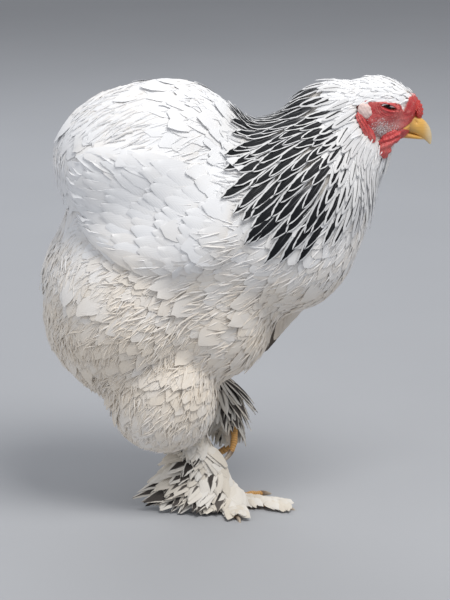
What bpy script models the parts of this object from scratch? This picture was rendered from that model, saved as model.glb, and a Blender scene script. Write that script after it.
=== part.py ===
"""A light brahma hen, life size, stepping forward on her right foot with the left one lifted.

The hen faces +X and her right side is at -Y. The origin is the middle of the sole of her standing
foot, on the floor. Every soft form is a few rounded masses that melt into one another: a ball's
points are pushed out along their rays until they meet the skin of those masses. Neighbouring nodes
are parted by cutting one with a copy of the other that is grown by the gap. Feathers are thin vanes
that creep along the skin of the masses in the way that the plumage lies.
"""

from collections import namedtuple

import bmesh
import bpy
import numpy as np
from mathutils import Matrix

# Driving sizes, in metres
GAP = 0.0003
MEDIAN = 0.008
BLEND = 0.010
FACE_BLEND = 0.003
FARTHEST = 0.4
FIELD_STEP = 0.0005
SETTLING_STEPS = 5
HALVINGS = 26

RIGHT, LEFT = -1.0, 1.0
SIDES = ((RIGHT, "right"), (LEFT, "left"))

Mass = namedtuple("Mass", "centre radii pitch yaw", defaults=(0.0, 0.0))


def mid(x, z, rx, ry, rz, pitch=0.0):
    """A mass on the middle plane of the body. Pitch lifts its front, in degrees."""
    return Mass((x, MEDIAN, z), (rx, ry, rz), pitch)


def off(side, x, y, z, rx, ry, rz, pitch=0.0, yaw=0.0):
    """A mass y metres out from the middle plane, on one side of the body."""
    return Mass((x, MEDIAN + side * y, z), (rx, ry, rz), pitch, side * yaw)


# The body's masses
TRUNK = mid(-0.024, 0.302, 0.148, 0.094, 0.094, pitch=8)
WITHERS = mid(0.002, 0.352, 0.060, 0.068, 0.046, pitch=-6)
BREAST = mid(0.066, 0.296, 0.068, 0.075, 0.080)
CROP = mid(0.096, 0.330, 0.046, 0.054, 0.050)
BELLY = mid(-0.018, 0.216, 0.068, 0.078, 0.078)
ABDOMEN = mid(-0.107, 0.229, 0.089, 0.096, 0.104)
SADDLE = mid(-0.056, 0.381, 0.078, 0.075, 0.078)
TORSO = [TRUNK, WITHERS, BREAST, CROP, BELLY, ABDOMEN, SADDLE]
TORSO_CENTRE = (-0.030, MEDIAN, 0.295)

CAPE = mid(0.075, 0.353, 0.067, 0.075, 0.070, pitch=40)
NAPE = mid(0.112, 0.411, 0.049, 0.027, 0.050, pitch=30)
THROAT = mid(0.147, 0.390, 0.022, 0.0155, 0.036, pitch=-15)
NECK = [CAPE, NAPE, THROAT]
NECK_CENTRE = (0.118, MEDIAN, 0.390)

CROWN = mid(0.157, 0.440, 0.033, 0.023, 0.0245, pitch=-12)
BROW = mid(0.180, 0.430, 0.0155, 0.0145, 0.021, pitch=-20)
CHEEK = mid(0.169, 0.412, 0.021, 0.0165, 0.017)
TEMPLE = mid(0.149, 0.423, 0.024, 0.0225, 0.028, pitch=20)
HEAD_CENTRE = (0.167, MEDIAN, 0.430)

CUSHION = mid(-0.102, 0.380, 0.083, 0.078, 0.071, pitch=18)

# A wing is the body's own form grown outwards inside an oval outline, with its shoulder low
WING_SKIN = TORSO + [CUSHION]
WING_RISE = 0.007
WING_SPOT = (-0.078, 0.084, 0.340)
WING_PITCH = -20.0
WING_REACH = (0.098, 0.062)
WING_DEPTH = 0.052
WING_EDGE = 0.006
WALL_RADIUS = 0.5


def wing_outline(side):
    """The oval that bounds a wing from the side, and the wall that bounds it towards the body."""
    x, _, z = WING_SPOT
    oval = off(side, x, 0, z, WING_REACH[0], WALL_RADIUS, WING_REACH[1], pitch=WING_PITCH)
    wall = off(side, x, WING_DEPTH + WALL_RADIUS, z, 6 * WALL_RADIUS, WALL_RADIUS, 6 * WALL_RADIUS)
    return [oval, wall]


def thigh_masses(side):
    """The feathered thigh, low over the standing foot and drawn up over the lifted one."""
    if side == RIGHT:
        return [
            off(side, -0.066, 0.036, 0.138, 0.053, 0.046, 0.062),
            off(side, -0.070, 0.028, 0.108, 0.044, 0.034, 0.032),
        ]
    return [
        off(side, -0.042, 0.044, 0.190, 0.052, 0.040, 0.058),
        off(side, -0.034, 0.042, 0.152, 0.034, 0.030, 0.032),
    ]


# The skin of melted masses
def turn_of(mass):
    """The matrix whose rows are a mass's own axes."""
    pitch = Matrix.Rotation(np.radians(-mass.pitch), 3, "Y")
    yaw = Matrix.Rotation(np.radians(mass.yaw), 3, "Z")
    return np.array((yaw @ pitch).transposed())


def outside(points, mass):
    """About how far each point is outside one mass; inside it is negative."""
    radii = np.array(mass.radii)
    local = (points - np.array(mass.centre)) @ turn_of(mass).T / radii
    reach = np.linalg.norm(local, axis=1) + 1e-9
    slope = np.linalg.norm(local / radii, axis=1) + 1e-9
    return np.clip(reach * (reach - 1) / slope, -0.2, FARTHEST)


def field(points, masses, blend=BLEND, inside=(), grow=0.0):
    """The same for melted masses, grown by a distance, and cut off softly where the limits end."""
    total = sum(np.exp(-outside(points, mass) / blend) for mass in masses)
    value = -blend * np.log(total) - grow
    if inside:
        total = sum(np.exp(outside(points, mass) / WING_EDGE) for mass in inside)
        value = WING_EDGE * np.log(np.exp(value / WING_EDGE) + total)
    return value


def slopes(points, masses, step=FIELD_STEP):
    """The direction in which the field grows at each point, from differences."""
    axes = np.eye(3) * step
    rise = [field(points + a, masses) - field(points - a, masses) for a in axes]
    rise = np.stack(rise, axis=1)
    return rise / (np.linalg.norm(rise, axis=1)[:, None] + 1e-12)


def settled(points, masses, level):
    """The points moved along the slope until they stand at a height over the skin, and their slopes."""
    for _ in range(SETTLING_STEPS):
        away = slopes(points, masses)
        points = points - (field(points, masses) - level)[:, None] * away
    return points, away


def reached(centre, rays, value):
    """Where rays from a centre first leave the inside of a field, found by halving."""
    near, far = np.zeros(len(rays)), np.full(len(rays), FARTHEST)
    for _ in range(HALVINGS):
        middle = (near + far) / 2
        inside = value(centre + rays * middle[:, None]) < 0
        near, far = np.where(inside, middle, near), np.where(inside, far, middle)
    return centre + rays * near[:, None]


# Mesh makers
def new_object(name, points, faces):
    """An object at the origin whose mesh holds the points and faces."""
    mesh = bpy.data.meshes.new(name)
    mesh.from_pydata(np.asarray(points).tolist(), [], [list(face) for face in faces])
    mesh.update()
    made = bpy.data.objects.new(name, mesh)
    bpy.context.scene.collection.objects.link(made)
    return made


def ring_faces(rings, sides):
    """Triangles between rings of points, and fans to one more point at either end."""
    first, last = rings * sides, rings * sides + 1
    end = (rings - 1) * sides
    faces = []
    for j in range(sides):
        k = (j + 1) % sides
        for i in range(rings - 1):
            a, b = i * sides + j, i * sides + k
            faces += [(a, b, b + sides), (a, b + sides, a + sides)]
        faces += [(first, k, j), (last, end + j, end + k)]
    return faces


def ball(name, masses, centre, rings=11, sides=14, stretch=(1, 1, 1), **skin):
    """A globe whose poles lie along X and whose points stand on the skin of the masses."""
    tilt = np.linspace(0, np.pi, rings + 2)[1:-1, None]
    turn = np.linspace(0, 2 * np.pi, sides, endpoint=False)[None]
    globe = np.cos(tilt), np.sin(tilt) * np.sin(turn), np.sin(tilt) * np.cos(turn)
    rays = np.stack(np.broadcast_arrays(*globe), axis=-1)
    rays = np.vstack([rays.reshape(-1, 3), (1, 0, 0), (-1, 0, 0)]) * np.array(stretch)
    rays /= np.linalg.norm(rays, axis=1)[:, None]
    points = reached(np.array(centre), rays, lambda spots: field(spots, masses, **skin))
    return new_object(name, points, ring_faces(rings, sides))


def tube(name, path, half_widths, half_heights, up=(0, 0, 1), sides=6, floor=None):
    """A closed tube of oval rings along a path, flattened where it would pass below the floor."""
    path = np.array(path, float)
    along, across, upward = frames(path, np.broadcast_to(np.array(up, float), path.shape))
    turn = np.linspace(0, 2 * np.pi, sides, endpoint=False) + np.pi / sides
    wide = np.asarray(half_widths)[:, None, None] * np.cos(turn)[None, :, None] * across[:, None]
    tall = np.asarray(half_heights)[:, None, None] * np.sin(turn)[None, :, None] * upward[:, None]
    points = np.vstack([(path[:, None] + wide + tall).reshape(-1, 3), path[:1], path[-1:]])
    if floor is not None:
        points[:, 2] = np.maximum(points[:, 2], floor)
    return new_object(name, points, ring_faces(len(path), sides))


def frames(path, facing):
    """At each station of a path: along it, across it, and the facing squared up to both."""
    along = np.gradient(path, axis=0)
    along /= np.linalg.norm(along, axis=1)[:, None]
    across = np.cross(facing, along)
    across /= np.linalg.norm(across, axis=1)[:, None]
    return along, across, np.cross(along, across)


# A feather's vane: half its width at the root, how fast it widens, and where its rounded end falls
VANE_THICKNESS = 0.0009
VANE_STATIONS = 5
VANE_ROOT = 0.55
VANE_WIDENING = 1.4
VANE_END = 0.97
BROAD_END = 5.0
POINTED_END = 2.4


def vane(path, facing, width, roundness=BROAD_END, thickness=VANE_THICKNESS):
    """A thin closed blade along a midrib, widest in its middle and narrowed to its tip."""
    path = np.array(path, float)
    _, across, upward = frames(path, np.array(facing, float))
    part = np.linspace(0, 1, len(path))
    spread = np.minimum(1, VANE_ROOT + VANE_WIDENING * part) * np.sqrt(1 - (VANE_END * part) ** roundness)
    wide = across * (width / 2 * spread)[:, None]
    thick = upward * thickness / 2
    corners = [path - wide - thick, path + wide - thick, path + wide + thick, path - wide + thick]
    points = np.stack(corners, axis=1).reshape(-1, 3)
    faces = []
    for i in range(0, 4 * (len(path) - 1), 4):
        faces += [(i, i + 1, i + 5), (i, i + 5, i + 4)]
        faces += [(i + 2, i + 3, i + 6), (i + 3, i + 7, i + 6)]
        faces += [(i + 1, i + 2, i + 6), (i + 1, i + 6, i + 5)]
        faces += [(i + 3, i, i + 4), (i + 3, i + 4, i + 7)]
    end = 4 * (len(path) - 1)
    faces += [(0, 2, 1), (0, 3, 2), (end, end + 1, end + 2), (end, end + 2, end + 3)]
    return new_object("vane", points, faces)


# Joining and cutting
def applied(target, modifier):
    """Bakes a modifier into its object's mesh and keeps only the largest closed surface."""
    graph = bpy.context.evaluated_depsgraph_get()
    mesh = bpy.data.meshes.new_from_object(target.evaluated_get(graph))
    target.modifiers.remove(modifier)
    old, target.data = target.data, mesh
    bpy.data.meshes.remove(old)
    keep_largest(target)
    return target


def keep_largest(target):
    """Drops every closed surface of the object but the one that spans the most."""
    bm = bmesh.new()
    bm.from_mesh(target.data)
    unseen = set(bm.faces)
    shells = []
    while unseen:
        front = [unseen.pop()]
        shell = list(front)
        while front:
            for edge in front.pop().edges:
                for face in edge.link_faces:
                    if face in unseen:
                        unseen.remove(face)
                        front.append(face)
                        shell.append(face)
        shells.append(shell)
    shells.sort(key=lambda shell: sum(face.calc_area() for face in shell))
    scraps = [face for shell in shells[:-1] for face in shell]
    bmesh.ops.delete(bm, geom=scraps, context="FACES")
    bmesh.ops.triangulate(bm, faces=bm.faces)
    bm.to_mesh(target.data)
    bm.free()


def cut(target, cutter, solver="EXACT"):
    """The target with the cutter's shape taken away, and the cutter removed."""
    modifier = target.modifiers.new("cut", "BOOLEAN")
    modifier.operation = "DIFFERENCE"
    modifier.solver = solver
    modifier.object = cutter
    applied(target, modifier)
    bpy.data.objects.remove(cutter)
    return target


def fused(target, pieces, solver="MANIFOLD"):
    """The target joined with many closed pieces by one union."""
    group = bpy.data.collections.new("pieces")
    bpy.context.scene.collection.children.link(group)
    for piece in pieces:
        bpy.context.scene.collection.objects.unlink(piece)
        group.objects.link(piece)
    modifier = target.modifiers.new("fuse", "BOOLEAN")
    modifier.operation = "UNION"
    modifier.solver = solver
    modifier.operand_type = "COLLECTION"
    modifier.collection = group
    applied(target, modifier)
    for piece in pieces:
        bpy.data.objects.remove(piece)
    bpy.data.collections.remove(group)
    return target


# Feather tracts: how deep and how far back a root is sunk, and the room that rows keep
ROOT_SINK = 0.0016
ROOT_BACK = 0.0060
SEAM_MARGIN = 0.0015
WING_MARGIN = 0.0075
ROW_SHARE = 0.93
SHORTER = (0.8, 0.6)


def crept(roots, core, skin, flow, lengths, lifts):
    """Midribs that start sunk in the core and creep over the skin along the flow, rising as they go."""
    roots = np.array(roots, float)
    lengths = np.broadcast_to(lengths, len(roots))
    heading = flow(roots)
    heading /= np.linalg.norm(heading, axis=1)[:, None]
    start, _ = settled(roots - ROOT_BACK * heading, core, -ROOT_SINK)
    points, away = settled(roots, skin, lifts[0])
    path, facing = [start], [away]
    for k in range(1, VANE_STATIONS):
        heading = flow(points)
        heading = heading - (heading * away).sum(axis=1)[:, None] * away
        heading /= np.linalg.norm(heading, axis=1)[:, None]
        points = points + heading * (lengths / (VANE_STATIONS - 1))[:, None]
        part = k / (VANE_STATIONS - 1)
        points, away = settled(points, skin, lifts[0] + (lifts[1] - lifts[0]) * part)
        path.append(points)
        facing.append(away)
    return np.stack(path, axis=1), np.stack(facing, axis=1)


def away_from(spot, fall=0.0):
    """A flow that runs straight away from a spot, bent downwards by a share."""
    spot = np.array(spot)

    def flow(points):
        heading = points - spot
        heading /= np.linalg.norm(heading, axis=1)[:, None]
        return heading - np.array([0, 0, fall])

    return flow


def constant(heading):
    """A flow that runs the same way everywhere."""
    return lambda points: np.tile(heading, (len(points), 1))


def clear_of_wings(path):
    """Whether a midrib stays above the wings by more than their own feathers stand up."""
    shapes = [field(path, WING_SKIN, inside=wing_outline(side), grow=WING_RISE) for side, _ in SIDES]
    return min(shape.min() for shape in shapes) > WING_MARGIN


def fitted(roots, core, skin, flow, length, lifts):
    """Midribs at their full length, but shorter where they would run on to a wing."""
    paths, facings = crept(roots, core, skin, flow, length, lifts)
    for share in SHORTER:
        tight = np.array([not clear_of_wings(path) for path in paths])
        if tight.any():
            paths[tight], facings[tight] = crept(roots[tight], core, skin, flow, length * share, lifts)
    return paths, facings


def row_vanes(paths, facings, widest, roundness, share=ROW_SHARE, roll=0.0, over_wings=False):
    """One row side by side. Each vane takes a share of the room at its middle, up to the widest."""
    middles = paths[:, VANE_STATIONS // 2 + 1]
    steps = np.linalg.norm(np.diff(middles, axis=0), axis=1)
    room = np.minimum(np.append(steps, steps[-1]), np.append(steps[:1], steps))
    widths = np.minimum(room * share, widest)
    made = []
    for path, facing, width in zip(paths, facings, widths):
        if not (over_wings or clear_of_wings(path)):
            continue
        _, across, _ = frames(path, facing)
        made.append(vane(path, facing + roll * across, width, roundness))
    return made


# The hackle
HACKLE_AXIS = ((0.152, 0.428), (0.062, 0.336))
HACKLE_APEX = (0.190, MEDIAN, 0.458)
HACKLE_ROWS = (
    # place along the neck, feathers, length, widest
    (0.14, 8, 0.044, 0.019),
    (0.38, 10, 0.056, 0.021),
    (0.62, 13, 0.062, 0.023),
    (0.80, 15, 0.066, 0.024),
)
HACKLE_LIFTS = (0.0012, 0.0046)
HACKLE_FALL = 0.1
HACKLE_CLEARANCE = 0.0065


def clear_of_face(path):
    """Whether a midrib stays far enough from the ears, lobes and wattles for its vane's half width."""
    shapes = [field(path, masses_of(side), FACE_BLEND) for _, masses_of, _ in FACE_PIECES for side, _ in SIDES]
    return min(shape.min() for shape in shapes) > HACKLE_CLEARANCE


def hackle_vanes():
    """Rows of pointed feathers round the neck, each row starting halfway between the last one's."""
    (x0, z0), (x1, z1) = HACKLE_AXIS
    down_neck = np.array([x1 - x0, 0, z1 - z0])
    down_neck /= np.linalg.norm(down_neck)
    nape = np.array([down_neck[2], 0, -down_neck[0]])
    skin = TORSO + NECK
    made = []
    for number, (place, count, length, widest) in enumerate(HACKLE_ROWS):
        centre = np.array([x0 + (x1 - x0) * place, MEDIAN, z0 + (z1 - z0) * place])
        turn = (np.arange(count) + 0.5 * (number % 2)) / count * 2 * np.pi
        rays = -nape * np.cos(turn)[:, None] + np.array([0, 1, 0]) * np.sin(turn)[:, None]
        roots = reached(centre, rays, lambda spots: field(spots, NECK))
        roots = roots[field(roots, TORSO) > SEAM_MARGIN]
        flow = away_from(HACKLE_APEX, fall=HACKLE_FALL)
        paths, facings = fitted(roots, NECK, skin, flow, length, HACKLE_LIFTS)
        free = [clear_of_face(path) for path in paths]
        made += row_vanes(paths[free], facings[free], widest, POINTED_END)
    return made


# The tail
TAIL_APEX = (0.010, MEDIAN, 0.400)
TAIL_ROWS = (
    # degrees back from the front, spread to either side, feathers, length, widest
    (84, 78, 8, 0.058, 0.024),
    (102, 92, 9, 0.056, 0.025),
    (124, 100, 8, 0.050, 0.025),
)
TAIL_LIFTS = (0.0012, 0.0050)
TAIL_FALL = 0.45


def tail_vanes():
    """Broad feathers in tiers that sweep back over the cushion and hang at its rim."""
    centre = np.array(CUSHION.centre)
    made = []
    for back, spread, count, length, widest in TAIL_ROWS:
        tilt = np.radians(back)
        turn = np.radians(np.linspace(-spread, spread, count))
        ahead, ring = np.full(count, np.cos(tilt)), np.sin(tilt)
        rays = np.stack([ahead, ring * np.sin(turn), ring * np.cos(turn)], axis=1)
        roots = reached(centre, rays, lambda spots: field(spots, [CUSHION]))
        roots = roots[field(roots, TORSO) > SEAM_MARGIN]
        flow = away_from(TAIL_APEX, fall=TAIL_FALL)
        paths, facings = crept(roots, [CUSHION], WING_SKIN, flow, length, TAIL_LIFTS)
        made += row_vanes(paths, facings, widest, BROAD_END)
    return made


# The wings
WING_ROWS = (
    # forward of the wing's edge, feathers, lowest and highest place, length, widest, roll
    (-0.07, 7, -0.82, 0.60, 0.092, 0.021, 0.12),
    (0.56, 6, -0.72, 0.60, 0.060, 0.022, 0.0),
    (1.05, 5, -0.62, 0.50, 0.054, 0.021, 0.0),
)
FLIGHT_LIFTS = (0.0018, 0.0026)
COVERT_LIFTS = (0.0014, 0.0056)
FLIGHT_SHARE = 1.5
TIPS_INSET = 0.98


def wing(name, side, grow=0.0):
    """The folded wing as one swelling on the body's side, or its grown copy for a cut."""
    x, y, z = WING_SPOT
    shape = {"inside": wing_outline(side), "grow": WING_RISE + grow}
    return ball(name, WING_SKIN, (x, MEDIAN + side * y, z), rings=12, sides=12, stretch=(4, 1, 3), **shape)


def wing_vanes(side):
    """Flight feathers along the rear edge, each tucked under the next one up, and two rows of coverts."""
    pitch = np.radians(WING_PITCH)
    forward = np.array([np.cos(pitch), 0, np.sin(pitch)])
    upward = np.array([-np.sin(pitch), 0, np.cos(pitch)])
    spot = np.array([WING_SPOT[0], MEDIAN, WING_SPOT[2]])
    made = []
    for number, (ahead, count, low, high, length, widest, roll) in enumerate(WING_ROWS):
        place = np.linspace(low, high, count)
        tip = ahead - TIPS_INSET * np.sqrt(1 - place**2)
        root = tip * WING_REACH[0] + length
        centres = spot + forward * root[:, None] + upward * (place * WING_REACH[1])[:, None]
        rays = np.tile([0, side, 0], (count, 1))
        roots = reached(centres, rays, lambda spots: field(spots, WING_SKIN, grow=WING_RISE))
        lifts = np.array(COVERT_LIFTS if number else FLIGHT_LIFTS) + WING_RISE
        share = ROW_SHARE if number else FLIGHT_SHARE
        start_skin = [mass._replace(radii=tuple(r + WING_RISE for r in mass.radii)) for mass in WING_SKIN]
        paths, facings = crept(roots, start_skin, WING_SKIN, constant(-forward), length, lifts)
        made += row_vanes(paths, facings, widest, BROAD_END, share, side * roll, over_wings=True)
    return made


# The legs and feet
FOOT_TURN = -16.0
PAD_HEIGHT = 0.0065
PAD_RADIUS = 0.0125
PAD_RISE = 0.0015
PAD_DEPTH = 0.0090
SOLE_FLAT = 0.0020
ANKLE = (-0.001, 0.0, 0.006)
SHANK_SIZE = 0.0125
SHANK_WAIST = 0.0030
SHANK_TOP = -0.08
SHANK_FRONT = (1.0, 0.0, 0.4)
HOCK = {RIGHT: (-0.038, -0.010, 0.098), LEFT: (-0.027, 0.050, 0.156)}
PAD = {RIGHT: (0.0, 0.0, PAD_HEIGHT), LEFT: (0.001, 0.052, 0.082)}
TOE_LENGTHS = {"inner": 0.046, "middle": 0.062, "outer": 0.050, "hind": 0.026}
TOE_ANGLES = {"inner": 52.0, "middle": 0.0, "outer": -62.0, "hind": 155.0}
TOE_START = 0.009
TOE_WIDTH = 0.0048
TOE_TAPER = 0.32
TOE_SWELLING = 0.07
TOE_JOINTS = 3
TOE_SQUASH = 0.9
TOE_REST = 0.86
TOE_ARCH = 0.0012
TOE_STATIONS = 7
CLAW_LENGTH = 0.013
CLAW_SIZE = 0.0030
CLAW_TAPER = 0.75
CLAW_BEND = 0.0026
LIFTED_SPREAD = 0.85
LIFTED_DROOP = 50.0
CURL_RADIUS = 0.026


def toe_path(side, kind):
    """A toe's middle line from the pad to its claw: along the floor, or curled under a lifted foot."""
    reach = np.linspace(TOE_START, TOE_LENGTHS[kind], TOE_STATIONS)
    if side == RIGHT:
        turn = np.radians(FOOT_TURN + TOE_ANGLES[kind])
        part = np.linspace(0, 1, TOE_STATIONS)
        height = toe_width(part) * TOE_REST + TOE_ARCH * np.sin(part * np.pi)
        return np.stack([np.cos(turn) * reach, np.sin(turn) * reach, height], axis=1)
    turn = np.radians(TOE_ANGLES[kind] * (1.0 if kind == "hind" else LIFTED_SPREAD))
    ahead, sideways = np.cos(turn) * reach, -np.sin(turn) * reach
    curl = ahead / CURL_RADIUS
    flat, down = CURL_RADIUS * np.sin(curl), -CURL_RADIUS * (1 - np.cos(curl)) * np.sign(ahead)
    sine, cosine = np.sin(np.radians(LIFTED_DROOP)), np.cos(np.radians(LIFTED_DROOP))
    bent = np.stack([flat * cosine + down * sine, sideways, down * cosine - flat * sine], axis=1)
    return np.array(PAD[LEFT]) + bent


def toe_width(part):
    """Half the width of a toe, swollen at each joint."""
    swelling = 1 + TOE_SWELLING * np.cos(part * TOE_JOINTS * 2 * np.pi)
    return TOE_WIDTH * (1 - TOE_TAPER * part) * swelling


def sole_side(side, path):
    """The way up from a toe's sole: straight up on the floor, and square to the curl on a lifted foot."""
    if side == RIGHT:
        return np.tile([0.0, 0.0, 1.0], (len(path), 1))
    along = np.gradient(path, axis=0)
    return np.cross(along, np.tile([0.0, 1.0, 0.0], (len(path), 1)))


def toe(name, side, kind, grow=0.0):
    """A toe from the pad to its last joint, a little flatter than it is wide."""
    path = toe_path(side, kind)
    width = toe_width(np.linspace(0, 1, TOE_STATIONS)) + grow
    floor = 0.0 if side == RIGHT else None
    return tube(name, path, width, width * TOE_SQUASH, up=sole_side(side, path), floor=floor)


def claw(name, side, kind, grow=0.0):
    """A claw that carries on from the end of its toe and bends down to a blunt point."""
    toe_line = toe_path(side, kind)
    along = toe_line[-1] - toe_line[-2]
    along /= np.linalg.norm(along)
    up = sole_side(side, toe_line)[-1]
    up /= np.linalg.norm(up)
    part = np.linspace(0, 1, 4)
    ahead = along * (GAP + CLAW_LENGTH * part)[:, None]
    path = toe_line[-1] + ahead - up * (CLAW_BEND * part**2)[:, None]
    size = CLAW_SIZE * (1 - CLAW_TAPER * part) + grow
    floor = 0.0 if side == RIGHT else None
    return tube(name, path, size, size, up=np.tile(up, (4, 1)), sides=6, floor=floor)


def pad(name, side, grow=0.0):
    """The cushion under the foot. Where it stands, its lowest points are brought to one flat sole."""
    x, y, z = PAD[side]
    radius = PAD_RADIUS + grow
    mass = Mass((x, y, z + PAD_RISE), (radius, radius, PAD_DEPTH + grow))
    made = ball(name, [mass], (x, y, z), rings=6, sides=8)
    if side == RIGHT:
        for vertex in made.data.vertices:
            if vertex.co.z < SOLE_FLAT:
                vertex.co.z = 0.0
    return made


def shank_line(side, part):
    """Points down the shank, from the hock at 0 to the pad at 1."""
    hock, foot = np.array(HOCK[side]), np.array(PAD[side]) + np.array(ANKLE)
    return hock + (foot - hock) * np.asarray(part)[..., None]


def shank(name, side, grow=0.0):
    """The shank from the hock down to the pad, thick with its own short feathers."""
    part = np.linspace(SHANK_TOP, 1, 6)
    size = SHANK_SIZE - SHANK_WAIST * np.sin(part.clip(0, 1) * np.pi) + grow
    return tube(name, shank_line(side, part), size, size * 1.05, up=SHANK_FRONT, sides=9)


# The fan of foot feathers and the ridge that it grows from
FAN_BACK = {RIGHT: 0.010, LEFT: 0.002}
FAN_OUT = {RIGHT: 0.011, LEFT: 0.014}
RIDGE_SPAN = (0.28, 0.92)
RIDGE_SIZE = 0.0068
RIDGE_TAPER = 0.0012
FAN_SQUASH = (1.0, 0.72, 1.0)
FAN_STEP = 0.0016
FAN_BOW = 0.010
FAN_LEAN = 0.4
FAN_END = 4.0
LIFTED_SAG = 0.45
FLAT_TIER = 0.002
FAN_TIERS = {
    # place down the shank, feathers, first and last bearing, nearest and farthest reach, tips' height, width
    RIGHT: (
        (0.84, 6, 106, 177, 0.064, 0.116, (0.0012, 0.0016), 0.019),
        (0.62, 4, 104, 170, 0.054, 0.104, (0.014, 0.030), 0.020),
        (0.40, 3, 110, 166, 0.046, 0.092, (0.030, 0.052), 0.019),
    ),
    LEFT: (
        (0.84, 5, 40, 150, 0.060, 0.070, (0.006, 0.006), 0.018),
        (0.56, 4, 36, 140, 0.052, 0.066, (0.024, 0.024), 0.018),
    ),
}


def fan_line(side, part):
    """Points down the ridge, outside and behind the shank's own line."""
    return shank_line(side, part) + np.array([-FAN_BACK[side], side * FAN_OUT[side], 0])


def fan_core(name, side, grow=0.0):
    """The ridge down the outer back of the shank that the long foot feathers grow from."""
    path = fan_line(side, np.linspace(*RIDGE_SPAN, 5))
    size = RIDGE_SIZE - RIDGE_TAPER * np.linspace(-1, 1, 5) ** 2 + grow
    floor = 0.0 if side == RIGHT else None
    return tube(name, path, size, size, up=SHANK_FRONT, sides=7, floor=floor)


def fan_vanes(side):
    """Tiers of long feathers that sweep out and back from the foot, the lowest along the floor."""
    lift = np.array(PAD[side]) - np.array([0, 0, PAD_HEIGHT])
    part = np.linspace(0, 1, VANE_STATIONS)[:, None]
    made = []
    for place, count, first, last, near, far, (low, high), width in FAN_TIERS[side]:
        root = fan_line(side, place)
        for number, share in enumerate(np.linspace(0, 1, count)):
            bearing = np.radians(first + (last - first) * share)
            reach = near + (far - near) * share
            outward = np.array([np.cos(bearing), side * np.sin(bearing), 0])
            step = FAN_STEP * (number % 2)
            height = low + (high - low) * share + step - (LIFTED_SAG * reach if side == LEFT else 0.0)
            tip = lift + outward * reach * np.array(FAN_SQUASH) + np.array([0, 0, height])
            bow = (root + tip) / 2 + np.array([0, 0, FAN_BOW + step])
            path = root * (1 - part) ** 2 + 2 * bow * part * (1 - part) + tip * part**2
            if side == RIGHT:
                path[:, 2] = np.maximum(path[:, 2], VANE_THICKNESS / 2 + step)
            lean = FAN_LEAN if low > FLAT_TIER else 0.0
            facing = np.tile(outward * lean + np.array([0, 0, 1.0]), (VANE_STATIONS, 1))
            made.append(vane(path, facing, width, FAN_END))
    return made


# Materials
PALETTE = {
    "white_feather": ((0.83, 0.80, 0.74), 0.75),
    "laced_hackle": ((0.12, 0.12, 0.125), 0.6),
    "foot_feather": ((0.55, 0.52, 0.46), 0.7),
    "face_skin": ((0.55, 0.045, 0.035), 0.5),
    "ear_skin": ((0.75, 0.45, 0.40), 0.6),
    "beak_horn": ((0.62, 0.36, 0.13), 0.35),
    "eye_surface": ((0.05, 0.025, 0.012), 0.1),
    "toe_skin": ((0.62, 0.31, 0.09), 0.5),
    "claw_horn": ((0.30, 0.22, 0.15), 0.35),
}


def dress(made, slot):
    """Gives a node its material, shared by every node of the same finish."""
    finish = bpy.data.materials.get(slot)
    if finish is None:
        colour, roughness = PALETTE[slot]
        finish = bpy.data.materials.new(slot)
        finish.use_nodes = True
        shader = finish.node_tree.nodes["Principled BSDF"]
        shader.inputs["Base Color"].default_value = (*colour, 1)
        shader.inputs["Roughness"].default_value = roughness
        shader.inputs["Metallic"].default_value = 0.0
    made.data.materials.clear()
    made.data.materials.append(finish)
    return made


# The head
EYE_RADIUS = 0.0092
EYE_SPOT = (0.1655, 0.0100, 0.4335)
EYE_OPENING = (0.0086, 0.010, 0.0030)
EYE_TILT = -19.0
LID_RADII = (0.0118, 0.0040, 0.0098)
LID_OUT = 0.0060
SLIT_OUT = 0.010
EAR_HOLLOW = (0.1335, 0.0235, 0.4330, 0.0030, 0.0040, 0.0035)


def head_masses():
    """The bare face and the feathered crown, with the low swelling of the lids round each eye."""
    x, y, z = EYE_SPOT
    lids = [off(side, x, y + LID_OUT, z, *LID_RADII, pitch=EYE_TILT) for side, _ in SIDES]
    return [CROWN, BROW, CHEEK, TEMPLE] + lids


def plain_head(name, grow=0.0):
    """The head before anything is cut from it, or its grown copy for a cut."""
    return ball(name, head_masses(), HEAD_CENTRE, rings=14, sides=18, blend=FACE_BLEND, grow=grow)


def eye_ball(name, side, grow=0.0):
    """The round eye, which shows only through the slit of the lids."""
    x, y, z = EYE_SPOT
    radius = EYE_RADIUS + grow
    mass = off(side, x, y, z, radius, radius, radius)
    return ball(name, [mass], mass.centre, rings=6, sides=8)


def open_eye(head, side):
    """A narrow tilted slit between the lids, and the hollow behind it that holds the eye."""
    x, y, z = EYE_SPOT
    slit = off(side, x, y + SLIT_OUT, z, *EYE_OPENING, pitch=EYE_TILT)
    cut(head, ball("slit", [slit], slit.centre, rings=5, sides=8))
    cut(head, eye_ball("socket", side, grow=GAP))
    hollow = off(side, *EAR_HOLLOW)
    cut(head, ball("ear", [hollow], hollow.centre, rings=5, sides=7))


# The beak's halves: places of the middle line, then half the width and height at the root and their loss
UPPER_LINE = ((0.1850, 0.4130), (0.2030, 0.4130), (0.2105, 0.3922))
UPPER_WIDTH, UPPER_HEIGHT = (0.0080, 0.0070), (0.0110, 0.0100)
LOWER_LINE = ((0.1780, 0.4020), (0.2045, 0.3958))
LOWER_WIDTH, LOWER_HEIGHT = (0.0070, 0.0052), (0.0046, 0.0032)
NOSTRIL = (0.1952, 0.0064, 0.4166, 0.0024, 0.0022, 0.0010)
NOSTRIL_PITCH = -35.0


def on_median(x, z):
    """Points on the body's middle plane."""
    return np.stack([x, np.full_like(x, MEDIAN), z], axis=1)


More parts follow.
